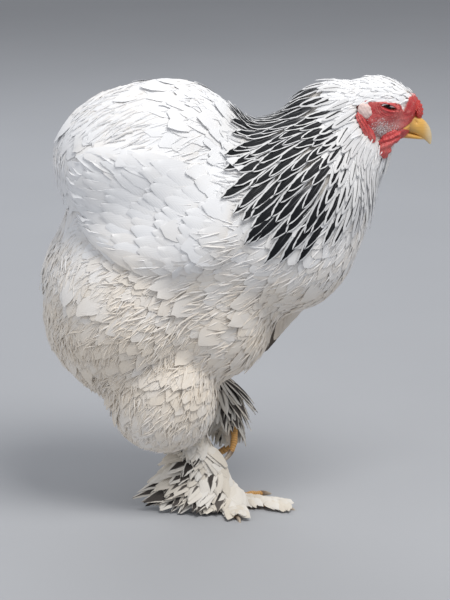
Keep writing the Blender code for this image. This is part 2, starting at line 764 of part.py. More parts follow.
def beak_upper(name="beak_upper", grow=0.0):
    """The curved upper half, its ridge running down to a hooked tip."""
    part = np.linspace(0, 1, 8)
    root, bend, tip = np.array(UPPER_LINE)[:, :, None]
    x, z = root * (1 - part) ** 2 + 2 * bend * part * (1 - part) + tip * part**2
    half_width = UPPER_WIDTH[0] - UPPER_WIDTH[1] * part**1.5 + grow
    half_height = UPPER_HEIGHT[0] - UPPER_HEIGHT[1] * part**2.6 + grow
    return tube(name, on_median(x, z), half_width, half_height, sides=10)


def beak_lower(name="beak_lower", grow=0.0):
    """The straighter lower half, which closes just under the upper one."""
    part = np.linspace(0, 1, 6)
    root, tip = np.array(LOWER_LINE)[:, :, None]
    x, z = root + (tip - root) * part
    half_width = LOWER_WIDTH[0] - LOWER_WIDTH[1] * part**1.4 + grow
    half_height = LOWER_HEIGHT[0] - LOWER_HEIGHT[1] * part + grow
    return tube(name, on_median(x, z), half_width, half_height, sides=10)


COMB_BACK, COMB_REACH, COMB_DROP = (0.1835, 0.4440), 0.0160, 0.0235
COMB_SIZE, COMB_BUMPS, COMB_RELIEF = 0.0054, 5, 0.10


def comb(name="comb", grow=0.0):
    """The low pea comb: rows of small bumps down the brow to the root of the beak."""
    part = np.linspace(0, 1, 13)
    x = COMB_BACK[0] + COMB_REACH * np.sin(part * np.pi / 2)
    z = COMB_BACK[1] - COMB_DROP * part**1.35
    bumps = 1 + COMB_RELIEF * np.sin(part * COMB_BUMPS * 2 * np.pi)
    body = np.sin((0.03 + 0.94 * part) * np.pi) ** 0.45
    size = COMB_SIZE * bumps * body + grow
    return tube(name, on_median(x, z), size * 1.05, size * 0.95, up=(1, 0, 1), sides=11)


def ear_masses(side):
    """The pale disc of bare skin over the ear."""
    return [off(side, 0.1420, 0.0238, 0.4350, 0.0078, 0.0044, 0.0078)]


def lobe_masses(side):
    """The long red lobe that hangs forward from under the ear."""
    return [
        off(side, 0.1400, 0.0242, 0.4230, 0.0050, 0.0036, 0.0110, pitch=25),
        off(side, 0.1485, 0.0232, 0.4085, 0.0052, 0.0036, 0.0100, pitch=35),
    ]


def wattle_masses(side):
    """The two folds of a wattle, which hang from the root of the lower beak."""
    return [
        off(side, 0.1685, 0.0158, 0.4020, 0.0120, 0.0042, 0.0066, pitch=28),
        off(side, 0.1620, 0.0158, 0.3895, 0.0064, 0.0040, 0.0088, pitch=-15),
    ]


FACE_PIECES = (
    ("ear", ear_masses, "ear_skin"),
    ("earlobe", lobe_masses, "face_skin"),
    ("wattle", wattle_masses, "face_skin"),
)


def face_piece(name, masses, grow=0.0):
    """One soft piece of the face, or its grown copy for a cut."""
    return ball(name, masses, masses[0].centre, rings=6, sides=8, blend=FACE_BLEND, grow=grow)


def make_head(neck):
    """The head with its beak, comb, eyes, ears, lobes and wattles, each cut clear of the others."""
    head = plain_head("head")
    cut(neck, plain_head("clear", grow=GAP))
    upper, lower, crest = beak_upper(), beak_lower(), comb()
    for cutter in (beak_upper, beak_lower, comb):
        cut(head, cutter("clear", grow=GAP))
    cut(crest, beak_upper("clear", grow=GAP))
    cut(lower, beak_upper("clear", grow=GAP))
    for side, word in SIDES:
        open_eye(head, side)
        dress(eye_ball("eye_" + word, side), "eye_surface")
        nostril = off(side, *NOSTRIL, pitch=NOSTRIL_PITCH)
        cut(upper, ball("nostril", [nostril], nostril.centre, rings=5, sides=7))
        earlier = []
        for kind, masses_of, slot in FACE_PIECES:
            masses = masses_of(side)
            made = face_piece(f"{kind}_{word}", masses)
            cut(head, face_piece("clear", masses, grow=GAP))
            cut(neck, face_piece("clear", masses, grow=GAP))
            for other in earlier:
                cut(made, face_piece("clear", other, grow=GAP))
            cut(made, beak_lower("clear", grow=GAP))
            earlier.append(masses)
            dress(made, slot)
    dress(head, "face_skin")
    dress(crest, "face_skin")
    dress(upper, "beak_horn")
    dress(lower, "beak_horn")


def make_leg(side, word, torso):
    """Thigh, shank, long foot feathers, pad, toes and claws of one leg."""
    masses = thigh_masses(side)
    thigh = ball("thigh_" + word, masses, masses[0].centre, rings=9, sides=12)
    cut(torso, ball("clear", masses, masses[0].centre, rings=9, sides=12, grow=GAP))
    leg = shank("shank_" + word, side)
    cut(thigh, shank("clear", side, grow=GAP))
    cut(leg, pad("clear", side, grow=GAP))
    dress(pad("foot_" + word, side), "toe_skin")
    fan = fan_core("foot_feathers_" + word, side)
    fused(fan, fan_vanes(side))
    cut(fan, shank("clear", side, grow=GAP))
    cut(fan, pad("clear", side, grow=GAP))
    if side == LEFT:
        cut(fan, ball("clear", masses, masses[0].centre, rings=9, sides=12, grow=GAP))
    earlier = []
    for kind in TOE_LENGTHS:
        made = toe(f"toe_{kind}_{word}", side, kind)
        cut(made, pad("clear", side, grow=GAP))
        for other in earlier:
            cut(made, toe("clear", side, other, grow=GAP))
        earlier.append(kind)
        cut(leg, toe("clear", side, kind, grow=GAP))
        if side == LEFT:
            cut(leg, claw("clear", side, kind, grow=GAP))
        cut(fan, toe("clear", side, kind, grow=GAP))
        cut(fan, claw("clear", side, kind, grow=GAP))
        dress(made, "toe_skin")
        dress(claw(f"claw_{kind}_{word}", side, kind), "claw_horn")
    dress(thigh, "white_feather")
    dress(leg, "foot_feather")
    dress(fan, "foot_feather")


def main():
    for old in list(bpy.data.objects):
        bpy.data.objects.remove(old)
    torso = ball("torso", TORSO, TORSO_CENTRE, rings=16, sides=18)
    neck = ball("neck", NECK, NECK_CENTRE, rings=11, sides=14)
    cut(torso, ball("clear", NECK, NECK_CENTRE, rings=11, sides=14, grow=GAP))
    tail = ball("tail", [CUSHION], CUSHION.centre, rings=10, sides=14)
    cut(torso, ball("clear", [CUSHION], CUSHION.centre, rings=10, sides=14, grow=GAP))
    for side, word in SIDES:
        made = wing("wing_" + word, side)
        cut(torso, wing("clear", side, grow=GAP))
        cut(tail, wing("clear", side, grow=GAP))
        fused(made, wing_vanes(side))
        dress(made, "white_feather")
        make_leg(side, word, torso)
    make_head(neck)
    fused(neck, hackle_vanes())
    fused(tail, tail_vanes())
    dress(torso, "white_feather")
    dress(neck, "laced_hackle")
    dress(tail, "white_feather")


main()
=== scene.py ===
"""The looks of a light brahma hen stepping forward on her right foot.

The skin is one closed surface inside the body's masses. Feathers are closed vanes that creep over
those masses along the lie of the plumage, and fine barbs soften their edges. Face, comb, beak, eyes,
toes and claws are surfaces worked out on grids.
"""

from collections import namedtuple

import bpy
import numpy as np
from mathutils import Matrix, Vector


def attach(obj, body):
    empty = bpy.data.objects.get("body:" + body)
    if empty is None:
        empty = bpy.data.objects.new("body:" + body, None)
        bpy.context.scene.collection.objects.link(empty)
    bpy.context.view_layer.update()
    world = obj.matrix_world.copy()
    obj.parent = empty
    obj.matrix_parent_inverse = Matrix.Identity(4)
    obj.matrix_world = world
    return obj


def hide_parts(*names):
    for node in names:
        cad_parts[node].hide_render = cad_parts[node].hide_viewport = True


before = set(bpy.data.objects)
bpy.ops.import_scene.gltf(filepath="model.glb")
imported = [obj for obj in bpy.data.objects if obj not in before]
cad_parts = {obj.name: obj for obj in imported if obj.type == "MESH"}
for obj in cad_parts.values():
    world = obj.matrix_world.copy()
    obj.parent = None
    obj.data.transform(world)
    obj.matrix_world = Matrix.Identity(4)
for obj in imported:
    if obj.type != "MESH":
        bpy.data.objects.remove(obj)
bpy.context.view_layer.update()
DRAWS = np.random.default_rng(7)

# Sizes shared with the solids, in metres
MEDIAN = 0.008
BLEND = 0.010
FACE_BLEND = 0.003
FARTHEST = 0.4
RIGHT, LEFT = -1.0, 1.0
SIDES = ((RIGHT, "right"), (LEFT, "left"))
MOST_TRIANGLES = 190000

Mass = namedtuple("Mass", "centre radii pitch yaw", defaults=(0.0, 0.0))


def mid(x, z, rx, ry, rz, pitch=0.0):
    return Mass((x, MEDIAN, z), (rx, ry, rz), pitch)


def off(side, x, y, z, rx, ry, rz, pitch=0.0, yaw=0.0):
    return Mass((x, MEDIAN + side * y, z), (rx, ry, rz), pitch, side * yaw)


TORSO = [
    mid(-0.024, 0.302, 0.148, 0.094, 0.094, pitch=8),
    mid(0.002, 0.352, 0.060, 0.068, 0.046, pitch=-6),
    mid(0.066, 0.296, 0.068, 0.075, 0.080),
    mid(0.096, 0.330, 0.046, 0.054, 0.050),
    mid(-0.018, 0.216, 0.068, 0.078, 0.078),
    mid(-0.107, 0.229, 0.089, 0.096, 0.104),
    mid(-0.056, 0.381, 0.078, 0.075, 0.078),
]
TORSO_CENTRE = (-0.030, MEDIAN, 0.295)
NECK = [
    mid(0.075, 0.353, 0.067, 0.075, 0.070, pitch=40),
    mid(0.112, 0.411, 0.049, 0.027, 0.050, pitch=30),
    mid(0.147, 0.390, 0.022, 0.0155, 0.036, pitch=-15),
]
HEAD = [
    mid(0.157, 0.440, 0.033, 0.023, 0.0245, pitch=-12),
    mid(0.180, 0.430, 0.0155, 0.0145, 0.021, pitch=-20),
    mid(0.169, 0.412, 0.021, 0.0165, 0.017),
    mid(0.149, 0.423, 0.024, 0.0225, 0.028, pitch=20),
]
HEAD_CENTRE = (0.167, MEDIAN, 0.430)
CUSHION = mid(-0.102, 0.380, 0.083, 0.078, 0.071, pitch=18)
THIGHS = {
    RIGHT: [
        off(RIGHT, -0.066, 0.036, 0.138, 0.053, 0.046, 0.062),
        off(RIGHT, -0.070, 0.028, 0.108, 0.044, 0.034, 0.032),
    ],
    LEFT: [
        off(LEFT, -0.042, 0.044, 0.190, 0.052, 0.040, 0.058),
        off(LEFT, -0.034, 0.042, 0.152, 0.034, 0.030, 0.032),
    ],
}
WING_RISE = 0.007
WING_SPOT = (-0.078, 0.084, 0.340)
WING_PITCH = -20.0
WING_REACH = (0.098, 0.062)
WING_DEPTH = 0.052
WING_EDGE = 0.006
HOCK = {RIGHT: (-0.038, -0.010, 0.098), LEFT: (-0.027, 0.050, 0.156)}
PAD = {RIGHT: (0.0, 0.0, 0.0065), LEFT: (0.001, 0.052, 0.082)}
EYE_SPOT = (0.1658, 0.0112, 0.4352)
HALVINGS = 24


# The skin of melted masses
class Form:
    """Masses melted into one: the distance outside them by a soft least, and the way out."""

    def __init__(self, masses, blend=BLEND):
        self.blend = blend
        self.centres = np.array([m.centre for m in masses])
        self.radii = np.array([m.radii for m in masses])
        turns = []
        for m in masses:
            pitch = Matrix.Rotation(np.radians(-m.pitch), 3, "Y")
            turns.append(np.array(Matrix.Rotation(np.radians(m.yaw), 3, "Z") @ pitch))
        self.turns = np.array(turns)

    def parts(self, points):
        local = np.einsum("nmi,mij->nmj", points[:, None] - self.centres, self.turns) / self.radii
        reach = np.linalg.norm(local, axis=2) + 1e-9
        away = local / self.radii
        slope = np.linalg.norm(away, axis=2) + 1e-9
        gap = np.clip(reach * (reach - 1) / slope, -0.2, FARTHEST)
        out = np.einsum("nmj,mij->nmi", away / slope[..., None], self.turns)
        return gap, out

    def __call__(self, points):
        gap, out = self.parts(points)
        share = np.exp(-gap / self.blend)
        total = share.sum(axis=1)
        way = (out * share[..., None]).sum(axis=1) / total[:, None]
        return -self.blend * np.log(total), unit(way)


def unit(vectors):
    return vectors / (np.linalg.norm(vectors, axis=-1, keepdims=True) + 1e-12)


class Union:
    """Several forms melted with one more blend."""

    def __init__(self, forms, blend=0.004):
        self.forms, self.blend = forms, blend

    def __call__(self, points):
        values, ways = zip(*[form(points) for form in self.forms])
        values = np.stack(values, axis=1)
        share = np.exp(-(values - values.min(axis=1, keepdims=True)) / self.blend)
        total = share.sum(axis=1)
        way = (np.stack(ways, axis=1) * share[..., None]).sum(axis=1)
        return values.min(axis=1) - self.blend * np.log(total), unit(way)


class WingForm:
    """The body grown by the wing's rise, and cut off softly by an oval and by an inner wall."""

    def __init__(self, side):
        x, _, z = WING_SPOT
        oval = off(side, x, 0, z, WING_REACH[0], 0.6, WING_REACH[1], pitch=WING_PITCH)
        wall = off(side, x, WING_DEPTH + 0.5, z, 3.0, 0.5, 3.0)
        self.body = Form(TORSO + [CUSHION])
        self.bounds = Form([oval, wall])

    def __call__(self, points):
        value, way = self.body(points)
        gap, out = self.bounds.parts(points)
        gaps = np.concatenate([(value - WING_RISE)[:, None], gap], axis=1)
        ways = np.concatenate([way[:, None], out], axis=1)
        top = gaps.max(axis=1, keepdims=True)
        share = np.exp((gaps - top) / WING_EDGE)
        total = share.sum(axis=1)
        way = (ways * share[..., None]).sum(axis=1)
        return top[:, 0] + WING_EDGE * np.log(total), unit(way)


BODY_FORM = Form(TORSO + NECK + [CUSHION])
COAT_FORM = Union(
    [BODY_FORM, WingForm(RIGHT), WingForm(LEFT)]
    + [Form(THIGHS[side]) for side, _ in SIDES]
    + [Form(HEAD, FACE_BLEND)]
)


def in_lots(form, points, most=40000):
    """A form's values and ways out, worked out for a lot of points at a time."""
    done = [form(points[i : i + most]) for i in range(0, len(points), most)]
    return np.concatenate([d[0] for d in done]), np.concatenate([d[1] for d in done])


def settled(form, points, level, rounds=3):
    """The points moved along the way out until they stand at a level over the form."""
    for _ in range(rounds):
        value, way = in_lots(form, points)
        points = points - (value - level)[:, None] * way
    return points, way


def reached(form, centre, rays, level=0.0):
    """Where rays from a centre meet a level of a form, by halving."""
    near, far = np.zeros(len(rays)), np.full(len(rays), FARTHEST)
    for _ in range(HALVINGS):
        middle = (near + far) / 2
        inside = in_lots(form, centre + rays * middle[:, None])[0] < level
        near, far = np.where(inside, middle, near), np.where(inside, far, middle)
    return centre + rays * near[:, None]


# Mesh makers
SHARPEST = np.radians(64)


def new_piece(name, points, faces, material, uvs=None, values=None):
    """One smooth mesh from arrays of points and triangles, with maps and values given per point."""
    mesh = bpy.data.meshes.new(name)
    faces = np.asarray(faces, np.int32)
    mesh.vertices.add(len(points))
    mesh.vertices.foreach_set("co", np.asarray(points, np.float32).ravel())
    mesh.loops.add(faces.size)
    mesh.loops.foreach_set("vertex_index", faces.ravel())
    mesh.polygons.add(len(faces))
    mesh.polygons.foreach_set("loop_start", np.arange(0, faces.size, 3, dtype=np.int32))
    mesh.update(calc_edges=True)
    mesh.validate()
    mesh.polygons.foreach_set("use_smooth", np.ones(len(mesh.polygons), bool))
    mesh.set_sharp_from_angle(angle=SHARPEST)
    for key, spots in (uvs or {}).items():
        layer = mesh.uv_layers.new(name=key)
        layer.data.foreach_set("uv", np.asarray(spots, np.float32)[faces.ravel()].ravel())
    for key, numbers in (values or {}).items():
        attribute = mesh.attributes.new(key, "FLOAT", "POINT")
        attribute.data.foreach_set("value", np.asarray(numbers, np.float32))
    made = bpy.data.objects.new(name, mesh)
    bpy.context.scene.collection.objects.link(made)
    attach(made, "root")
    made.data.materials.append(material)
    return made


def ring_faces(rings, sides):
    """Triangles between rings of points, and fans to one more point at either end."""
    i, j = np.meshgrid(np.arange(rings - 1), np.arange(sides), indexing="ij")
    a, b = (i * sides + j).ravel(), (i * sides + (j + 1) % sides).ravel()
    walls = np.concatenate([np.stack([a, b, b + sides], 1), np.stack([a, b + sides, a + sides], 1)])
    j = np.arange(sides)
    k, end = (j + 1) % sides, (rings - 1) * sides
    first, last = np.full(sides, rings * sides), np.full(sides, rings * sides + 1)
    return np.concatenate([walls, np.stack([first, k, j], 1), np.stack([last, end + j, end + k], 1)])


def globe_rays(rings, sides):
    """Rays to the points of a globe with its poles along X: rings of sides, then the two poles."""
    tilt = np.linspace(0, np.pi, rings + 2)[1:-1, None]
    turn = np.linspace(0, 2 * np.pi, sides, endpoint=False)[None]
    spots = np.cos(tilt), np.sin(tilt) * np.sin(turn), np.sin(tilt) * np.cos(turn)
    rays = np.stack(np.broadcast_arrays(*spots), axis=-1).reshape(-1, 3)
    return np.vstack([rays, (1, 0, 0), (-1, 0, 0)])


def ball_points(form, centre, rings, sides, level=0.0):
    """A globe cast out from a centre on to a level of a form."""
    rays = unit(globe_rays(rings, sides))
    return reached(form, np.array(centre), rays, level), ring_faces(rings, sides)


def frames(path, facing):
    """At each station of many paths: along, across, and the facing squared up to both."""
    along = unit(np.gradient(path, axis=-2))
    across = unit(np.cross(facing, along))
    return along, across, np.cross(along, across)


def tube_points(path, wide, tall, up, sides, floor=None, shape=1.0):
    """Oval rings along a path, of half-width and half-height given per station or per point."""
    path = np.array(path, float)
    _, across, upward = frames(path, np.broadcast_to(np.array(up, float), path.shape))
    turn = np.linspace(0, 2 * np.pi, sides, endpoint=False)
    wide = np.asarray(wide)[:, None] * np.cos(turn)[None] * shape
    tall = np.asarray(tall)[:, None] * np.sin(turn)[None] * shape
    points = path[:, None] + wide[..., None] * across[:, None] + tall[..., None] * upward[:, None]
    points = np.vstack([points.reshape(-1, 3), path[:1], path[-1:]])
    if floor is not None:
        points[:, 2] = np.maximum(points[:, 2], floor)
    return points, ring_faces(len(path), sides)


def smooth(low, high, value):
    """0 at low and 1 at high, with a soft start and end."""
    part = ((value - low) / (high - low)).clip(0, 1)
    return part * part * (3 - 2 * part)


def bell(distance, width):
    return np.exp(-((distance / width) ** 2))


def spot_bell(points, x, z, wide, tall):
    """A bell round a spot seen from the side."""
    return np.exp(-(((points[:, 0] - x) / wide) ** 2 + ((points[:, 2] - z) / tall) ** 2))


def curve(start, bow, end, t):
    """A quadratic curve from start to end, drawn towards the bow."""
    return start * (1 - t) ** 2 + 2 * bow * t * (1 - t) + end * t**2


def level_ways(bearing, side=1.0):
    """Level headings at bearings from straight ahead, turned towards a side."""
    return np.stack([np.cos(bearing), side * np.sin(bearing), np.zeros_like(bearing)], axis=1)


def globe_map(points, centre):
    """The skin unwrapped as a globe round a centre: the turn round X, and the tilt from it."""
    ray = unit(points - np.array(centre))
    turn = np.arctan2(ray[:, 1], ray[:, 2]) / (2 * np.pi) + 0.5
    return np.stack([turn, np.arccos(ray[:, 0].clip(-1, 1)) / np.pi], axis=1)


def mesh_points(mesh):
    corners = np.empty(len(mesh.vertices) * 3, np.float32)
    mesh.vertices.foreach_get("co", corners)
    return corners.reshape(-1, 3).astype(float)


SINES = 9


def ripple(points, scale, seed):
    """Soft lumps: a sum of sines of the place along fixed slanting directions."""
    draws = np.random.default_rng(seed)
    total = np.zeros(len(points))
    for _ in range(SINES):
        heading = unit(draws.normal(size=3))
        pace = draws.uniform(0.7, 1.5)
        start = draws.uniform(0, 6)
        total += np.sin(points @ heading * scale * pace + start)
    return total / SINES


# Feathers
VANE_THICKNESS = 0.0005
ROUND_END = 0.16
ROUND_ROOM = 0.07
PATCH = 0.003


def vane_points(paths, facings, widths, taper, places, rough=0.0, cup=0.10, columns=3, end=0.985, jag=0.0):
    """Closed blades of a few columns across, with thin edges and a raised middle.

    The half-width at a share t of the way is w (a + b t)(1 - (e t)^p)^(1/2), with p the taper and e
    the end. Towards its tip a column is drawn back by the square of its place across, and moved
    along by a draw of its own, as far as the jag allows. The edges hang by the cup.
    """
    count, stations, _ = paths.shape
    t = places
    along, across, upward = frames(paths, facings)
    spread = np.minimum(1, 0.35 + 2.0 * t) * np.sqrt(np.maximum(1 - (end * t) ** taper, 0))
    half = (widths[:, None] / 2 * spread)[..., None]
    length = np.linalg.norm(np.diff(paths, axis=1), axis=2).sum(axis=1)[:, None, None]
    over = np.linspace(-1, 1, columns)
    wide = over * half * (1 + rough * DRAWS.normal(size=(count, stations, columns)))
    back = -ROUND_END * over**2 * (1 - end) / ROUND_ROOM * t[:, None] ** 3
    back = back + jag * DRAWS.normal(size=(count, 1, columns)) * t[:, None] ** 4
    surface = paths[:, :, None] + across[:, :, None] * wide[..., None]
    surface = surface + along[:, :, None] * (back * length)[..., None]
    surface = surface - upward[:, :, None] * (cup * half * over**2)[..., None]
    thick = upward[:, :, None] * (VANE_THICKNESS / 2)
    under, over_top = surface[:, :, 1:-1] - thick, surface[:, :, 1:-1] + thick
    rows = [surface[:, :, :1], under, surface[:, :, -1:], over_top[:, :, ::-1]]
    points = np.concatenate(rows, axis=2).reshape(-1, 3)
    ring = 2 * columns - 2
    i = np.arange(stations - 1)[:, None] * ring
    j = np.arange(ring)[None]
    a, b = i + j, i + (j + 1) % ring
    c, d = a + ring, b + ring
    walls = np.stack([a, b, d, a, d, c], -1).reshape(-1, 3)
    cap = [(0, 1, ring - 1), (columns - 2, columns - 1, columns)]
    for j in range(1, columns - 2):
        cap += [(j, j + 1, ring - j - 1), (j, ring - j - 1, ring - j)]
    cap = np.array(cap)
    one = np.vstack([walls, cap[:, ::-1], cap + (stations - 1) * ring])
    faces = (one[None] + (np.arange(count) * stations * ring)[:, None, None]).reshape(-1, 3)
    u = np.concatenate([over[:1], over[1:-1], over[-1:], over[-2:0:-1]]) / 2 + 0.5
    u = np.broadcast_to(u, (count, stations, ring))
    v = np.broadcast_to(t[None, :, None], (count, stations, ring))
    return points, faces, np.stack([u, v], axis=-1).reshape(-1, 2)


LUMP_HEIGHT = 0.0042
LUMP_SCALE = 105.0
HOLLOW = (-0.152, 0.356)
HOLLOW_REACH = 0.017
HOLLOW_DEPTH = 0.0065


def lumps(points):
    """How far the coat swells or sinks at a spot, none on the head and feet."""
    fade = smooth(0.120, 0.050, points[:, 0]) * smooth(0.080, 0.130, points[:, 2])
    hollow = bell(np.hypot(points[:, 0] - HOLLOW[0], points[:, 2] - HOLLOW[1]), HOLLOW_REACH)
    return (LUMP_HEIGHT * (ripple(points, LUMP_SCALE, 8) - 0.25) - HOLLOW_DEPTH * hollow) * fade


def coat_piece(name, made, roots, values, material, centre=TORSO_CENTRE):
    """Joins many feathers into pieces of at most MOST_TRIANGLES triangles each, with both of their maps.

    OFBake sets each feather as a patch PATCH across, at its root's place on the globe's map.
    """
    points, faces, vane = made
    count = len(roots)
    per, tris = len(points) // count, len(faces) // count
    spot = globe_map(roots, centre) * (1 - 2 * PATCH) + PATCH
    baked = np.repeat(spot, per, axis=0) + (vane - 0.5) * PATCH
    pieces = []
    lot = MOST_TRIANGLES // tris
    for number, start in enumerate(range(0, count, lot)):
        stop = min(start + lot, count)
        ours = slice(start * per, stop * per)
        part_values = {key: np.repeat(v[start:stop], per) for key, v in values.items()}
        faces_here = faces[start * tris : stop * tris] - start * per
        label = name if count <= lot else f"{name}_{number + 1}"
        uvs = {"Vane": vane[ours], "OFBake": baked[ours]}
        pieces.append(new_piece(label, points[ours], faces_here, material, uvs, part_values))
    return pieces


def crept(form, roots, flow, lengths, levels, places, bend=None):
    """Midribs that start at the roots and creep over a form along the flow.

    Each step goes along the flow laid flat on the skin, turned by the bend, and the point is then
    set at its level: the first level at the root and the last at the tip.
    """
    points, way = settled(form, roots, levels[:, 0])
    path, facing = [points], [way]
    for k in range(1, len(places)):
        heading = flow(points)
        heading = unit(heading - (heading * way).sum(axis=1)[:, None] * way)
        if bend is not None:
            heading = unit(heading + np.cross(way, heading) * bend[:, None])
        points = points + heading * (lengths * (places[k] - places[k - 1]))[:, None]
        level = levels[:, 0] + (levels[:, 1] - levels[:, 0]) * places[k] ** 0.8
        points, way = settled(form, points, level, 2)
        path.append(points)
        facing.append(way)
    return np.stack(path, axis=1), np.stack(facing, axis=1)


# The lie of the coat
Tract = namedtuple("Tract", "x y z way length width tip fluff")
# One row for each spot of the right or left side: the way its feathers point, and what they are like
TRACTS = (
    Tract(0.150, 0.000, 0.455, (-1.0, 0.0, 0.1), 0.013, 0.0042, 0.001, 0.5),
    Tract(0.120, 0.030, 0.430, (-1.0, 0.2, -0.6), 0.020, 0.007, 0.001, 0.4),
    Tract(0.150, 0.010, 0.375, (-0.2, 0.1, -1.0), 0.024, 0.009, 0.001, 0.5),
    Tract(0.140, 0.000, 0.320, (-0.15, 0.2, -1.0), 0.030, 0.018, 0.001, 0.3),
    Tract(0.090, 0.070, 0.300, (-0.75, 0.1, -0.8), 0.032, 0.020, 0.002, 0.3),
    Tract(0.080, 0.000, 0.225, (-1.0, 0.1, -0.5), 0.034, 0.020, 0.002, 0.5),
    Tract(0.010, 0.040, 0.410, (-1.0, 0.0, 0.1), 0.034, 0.020, 0.001, 0.2),
    Tract(-0.050, 0.000, 0.460, (-1.0, 0.0, 0.0), 0.036, 0.022, -0.003, 0.3),
    Tract(-0.060, 0.070, 0.410, (-0.9, 0.1, -0.5), 0.036, 0.022, 0.001, 0.3),
    Tract(-0.140, 0.000, 0.450, (-1.0, 0.0, -0.4), 0.038, 0.024, -0.003, 0.4),
    Tract(-0.150, 0.060, 0.390, (-0.7, 0.0, -1.0), 0.038, 0.022, 0.003, 0.4),
    Tract(-0.185, 0.000, 0.370, (-0.2, 0.0, -1.0), 0.036, 0.022, -0.003, 0.5),
    Tract(-0.010, 0.090, 0.320, (-1.0, 0.0, 0.05), 0.038, 0.022, 0.001, 0.1),
    Tract(-0.080, 0.090, 0.350, (-1.0, 0.0, 0.30), 0.042, 0.022, 0.001, 0.1),
    Tract(-0.140, 0.085, 0.350, (-0.95, 0.0, 0.20), 0.042, 0.020, 0.001, 0.2),
    Tract(0.000, 0.095, 0.260, (-1.0, 0.0, -0.15), 0.036, 0.022, 0.003, 0.5),
    Tract(-0.090, 0.095, 0.240, (-1.0, 0.0, -0.55), 0.036, 0.020, 0.006, 0.9),
    Tract(-0.180, 0.040, 0.250, (-0.5, 0.0, -1.0), 0.034, 0.018, 0.001, 1.0),
    Tract(-0.160, 0.040, 0.160, (-0.3, 0.0, -1.0), 0.034, 0.018, 0.008, 1.0),
    Tract(-0.050, 0.040, 0.150, (-1.0, 0.0, -0.5), 0.032, 0.018, 0.006, 0.9),
    Tract(0.030, 0.040, 0.190, (-1.0, 0.0, -0.4), 0.032, 0.020, 0.004, 0.7),
    Tract(-0.060, 0.080, 0.150, (-0.5, 0.0, -1.0), 0.030, 0.018, 0.004, 0.9),
    Tract(-0.060, 0.070, 0.100, (-0.4, -0.1, -1.0), 0.026, 0.016, 0.004, 0.9),
)
TRACT_REACH = 0.030


def tract_values(points):
    """The tracts blended at each point by a bell of distance, mirrored across the middle plane."""
    side = np.where(points[:, 1] < MEDIAN, -1.0, 1.0)
    folded = points.copy()
    folded[:, 1] = np.abs(points[:, 1] - MEDIAN)
    spots = np.array([(t.x, t.y, t.z) for t in TRACTS])
    far = ((folded[:, None] - spots) ** 2).sum(axis=2)
    share = np.exp(-(far - far.min(axis=1, keepdims=True)) / (2 * TRACT_REACH**2))
    share /= share.sum(axis=1, keepdims=True)
    ways = share @ np.array([unit(np.array(t.way)) for t in TRACTS])
    ways[:, 1] *= side
    kinds = share @ np.array([(t.length, t.width, t.tip, t.fluff) for t in TRACTS])
    return unit(ways), kinds


def coat_flow(points):
    return tract_values(points)[0]


# Materials
class Sock:
    """A socket of a material's tree, or a number, with arithmetic that adds the nodes it needs."""

    def __init__(self, mat, out):
        self.mat, self.out = mat, out

    def _math(self, operation, *others):
        return self.mat.node("ShaderNodeMath", {"operation": operation}, self, *others)

    def __add__(self, other):
        return self._math("ADD", other)

    def __sub__(self, other):
        return self._math("SUBTRACT", other)

    def __rsub__(self, other):
        return self.mat.node("ShaderNodeMath", {"operation": "SUBTRACT"}, other, self)

    def __mul__(self, other):
        return self._math("MULTIPLY", other)

    def __truediv__(self, other):
        return self._math("DIVIDE", other)

    def __pow__(self, other):
        return self._math("POWER", other)

    def abs(self):
        return self._math("ABSOLUTE")

    def sin(self):
        return self._math("SINE")

    def step(self, low, high):
        """0 below low and 1 above high, smooth between."""
        settings = {"interpolation_type": "SMOOTHSTEP"}
        return self.mat.node("ShaderNodeMapRange", settings, self, low, high, 0.0, 1.0)


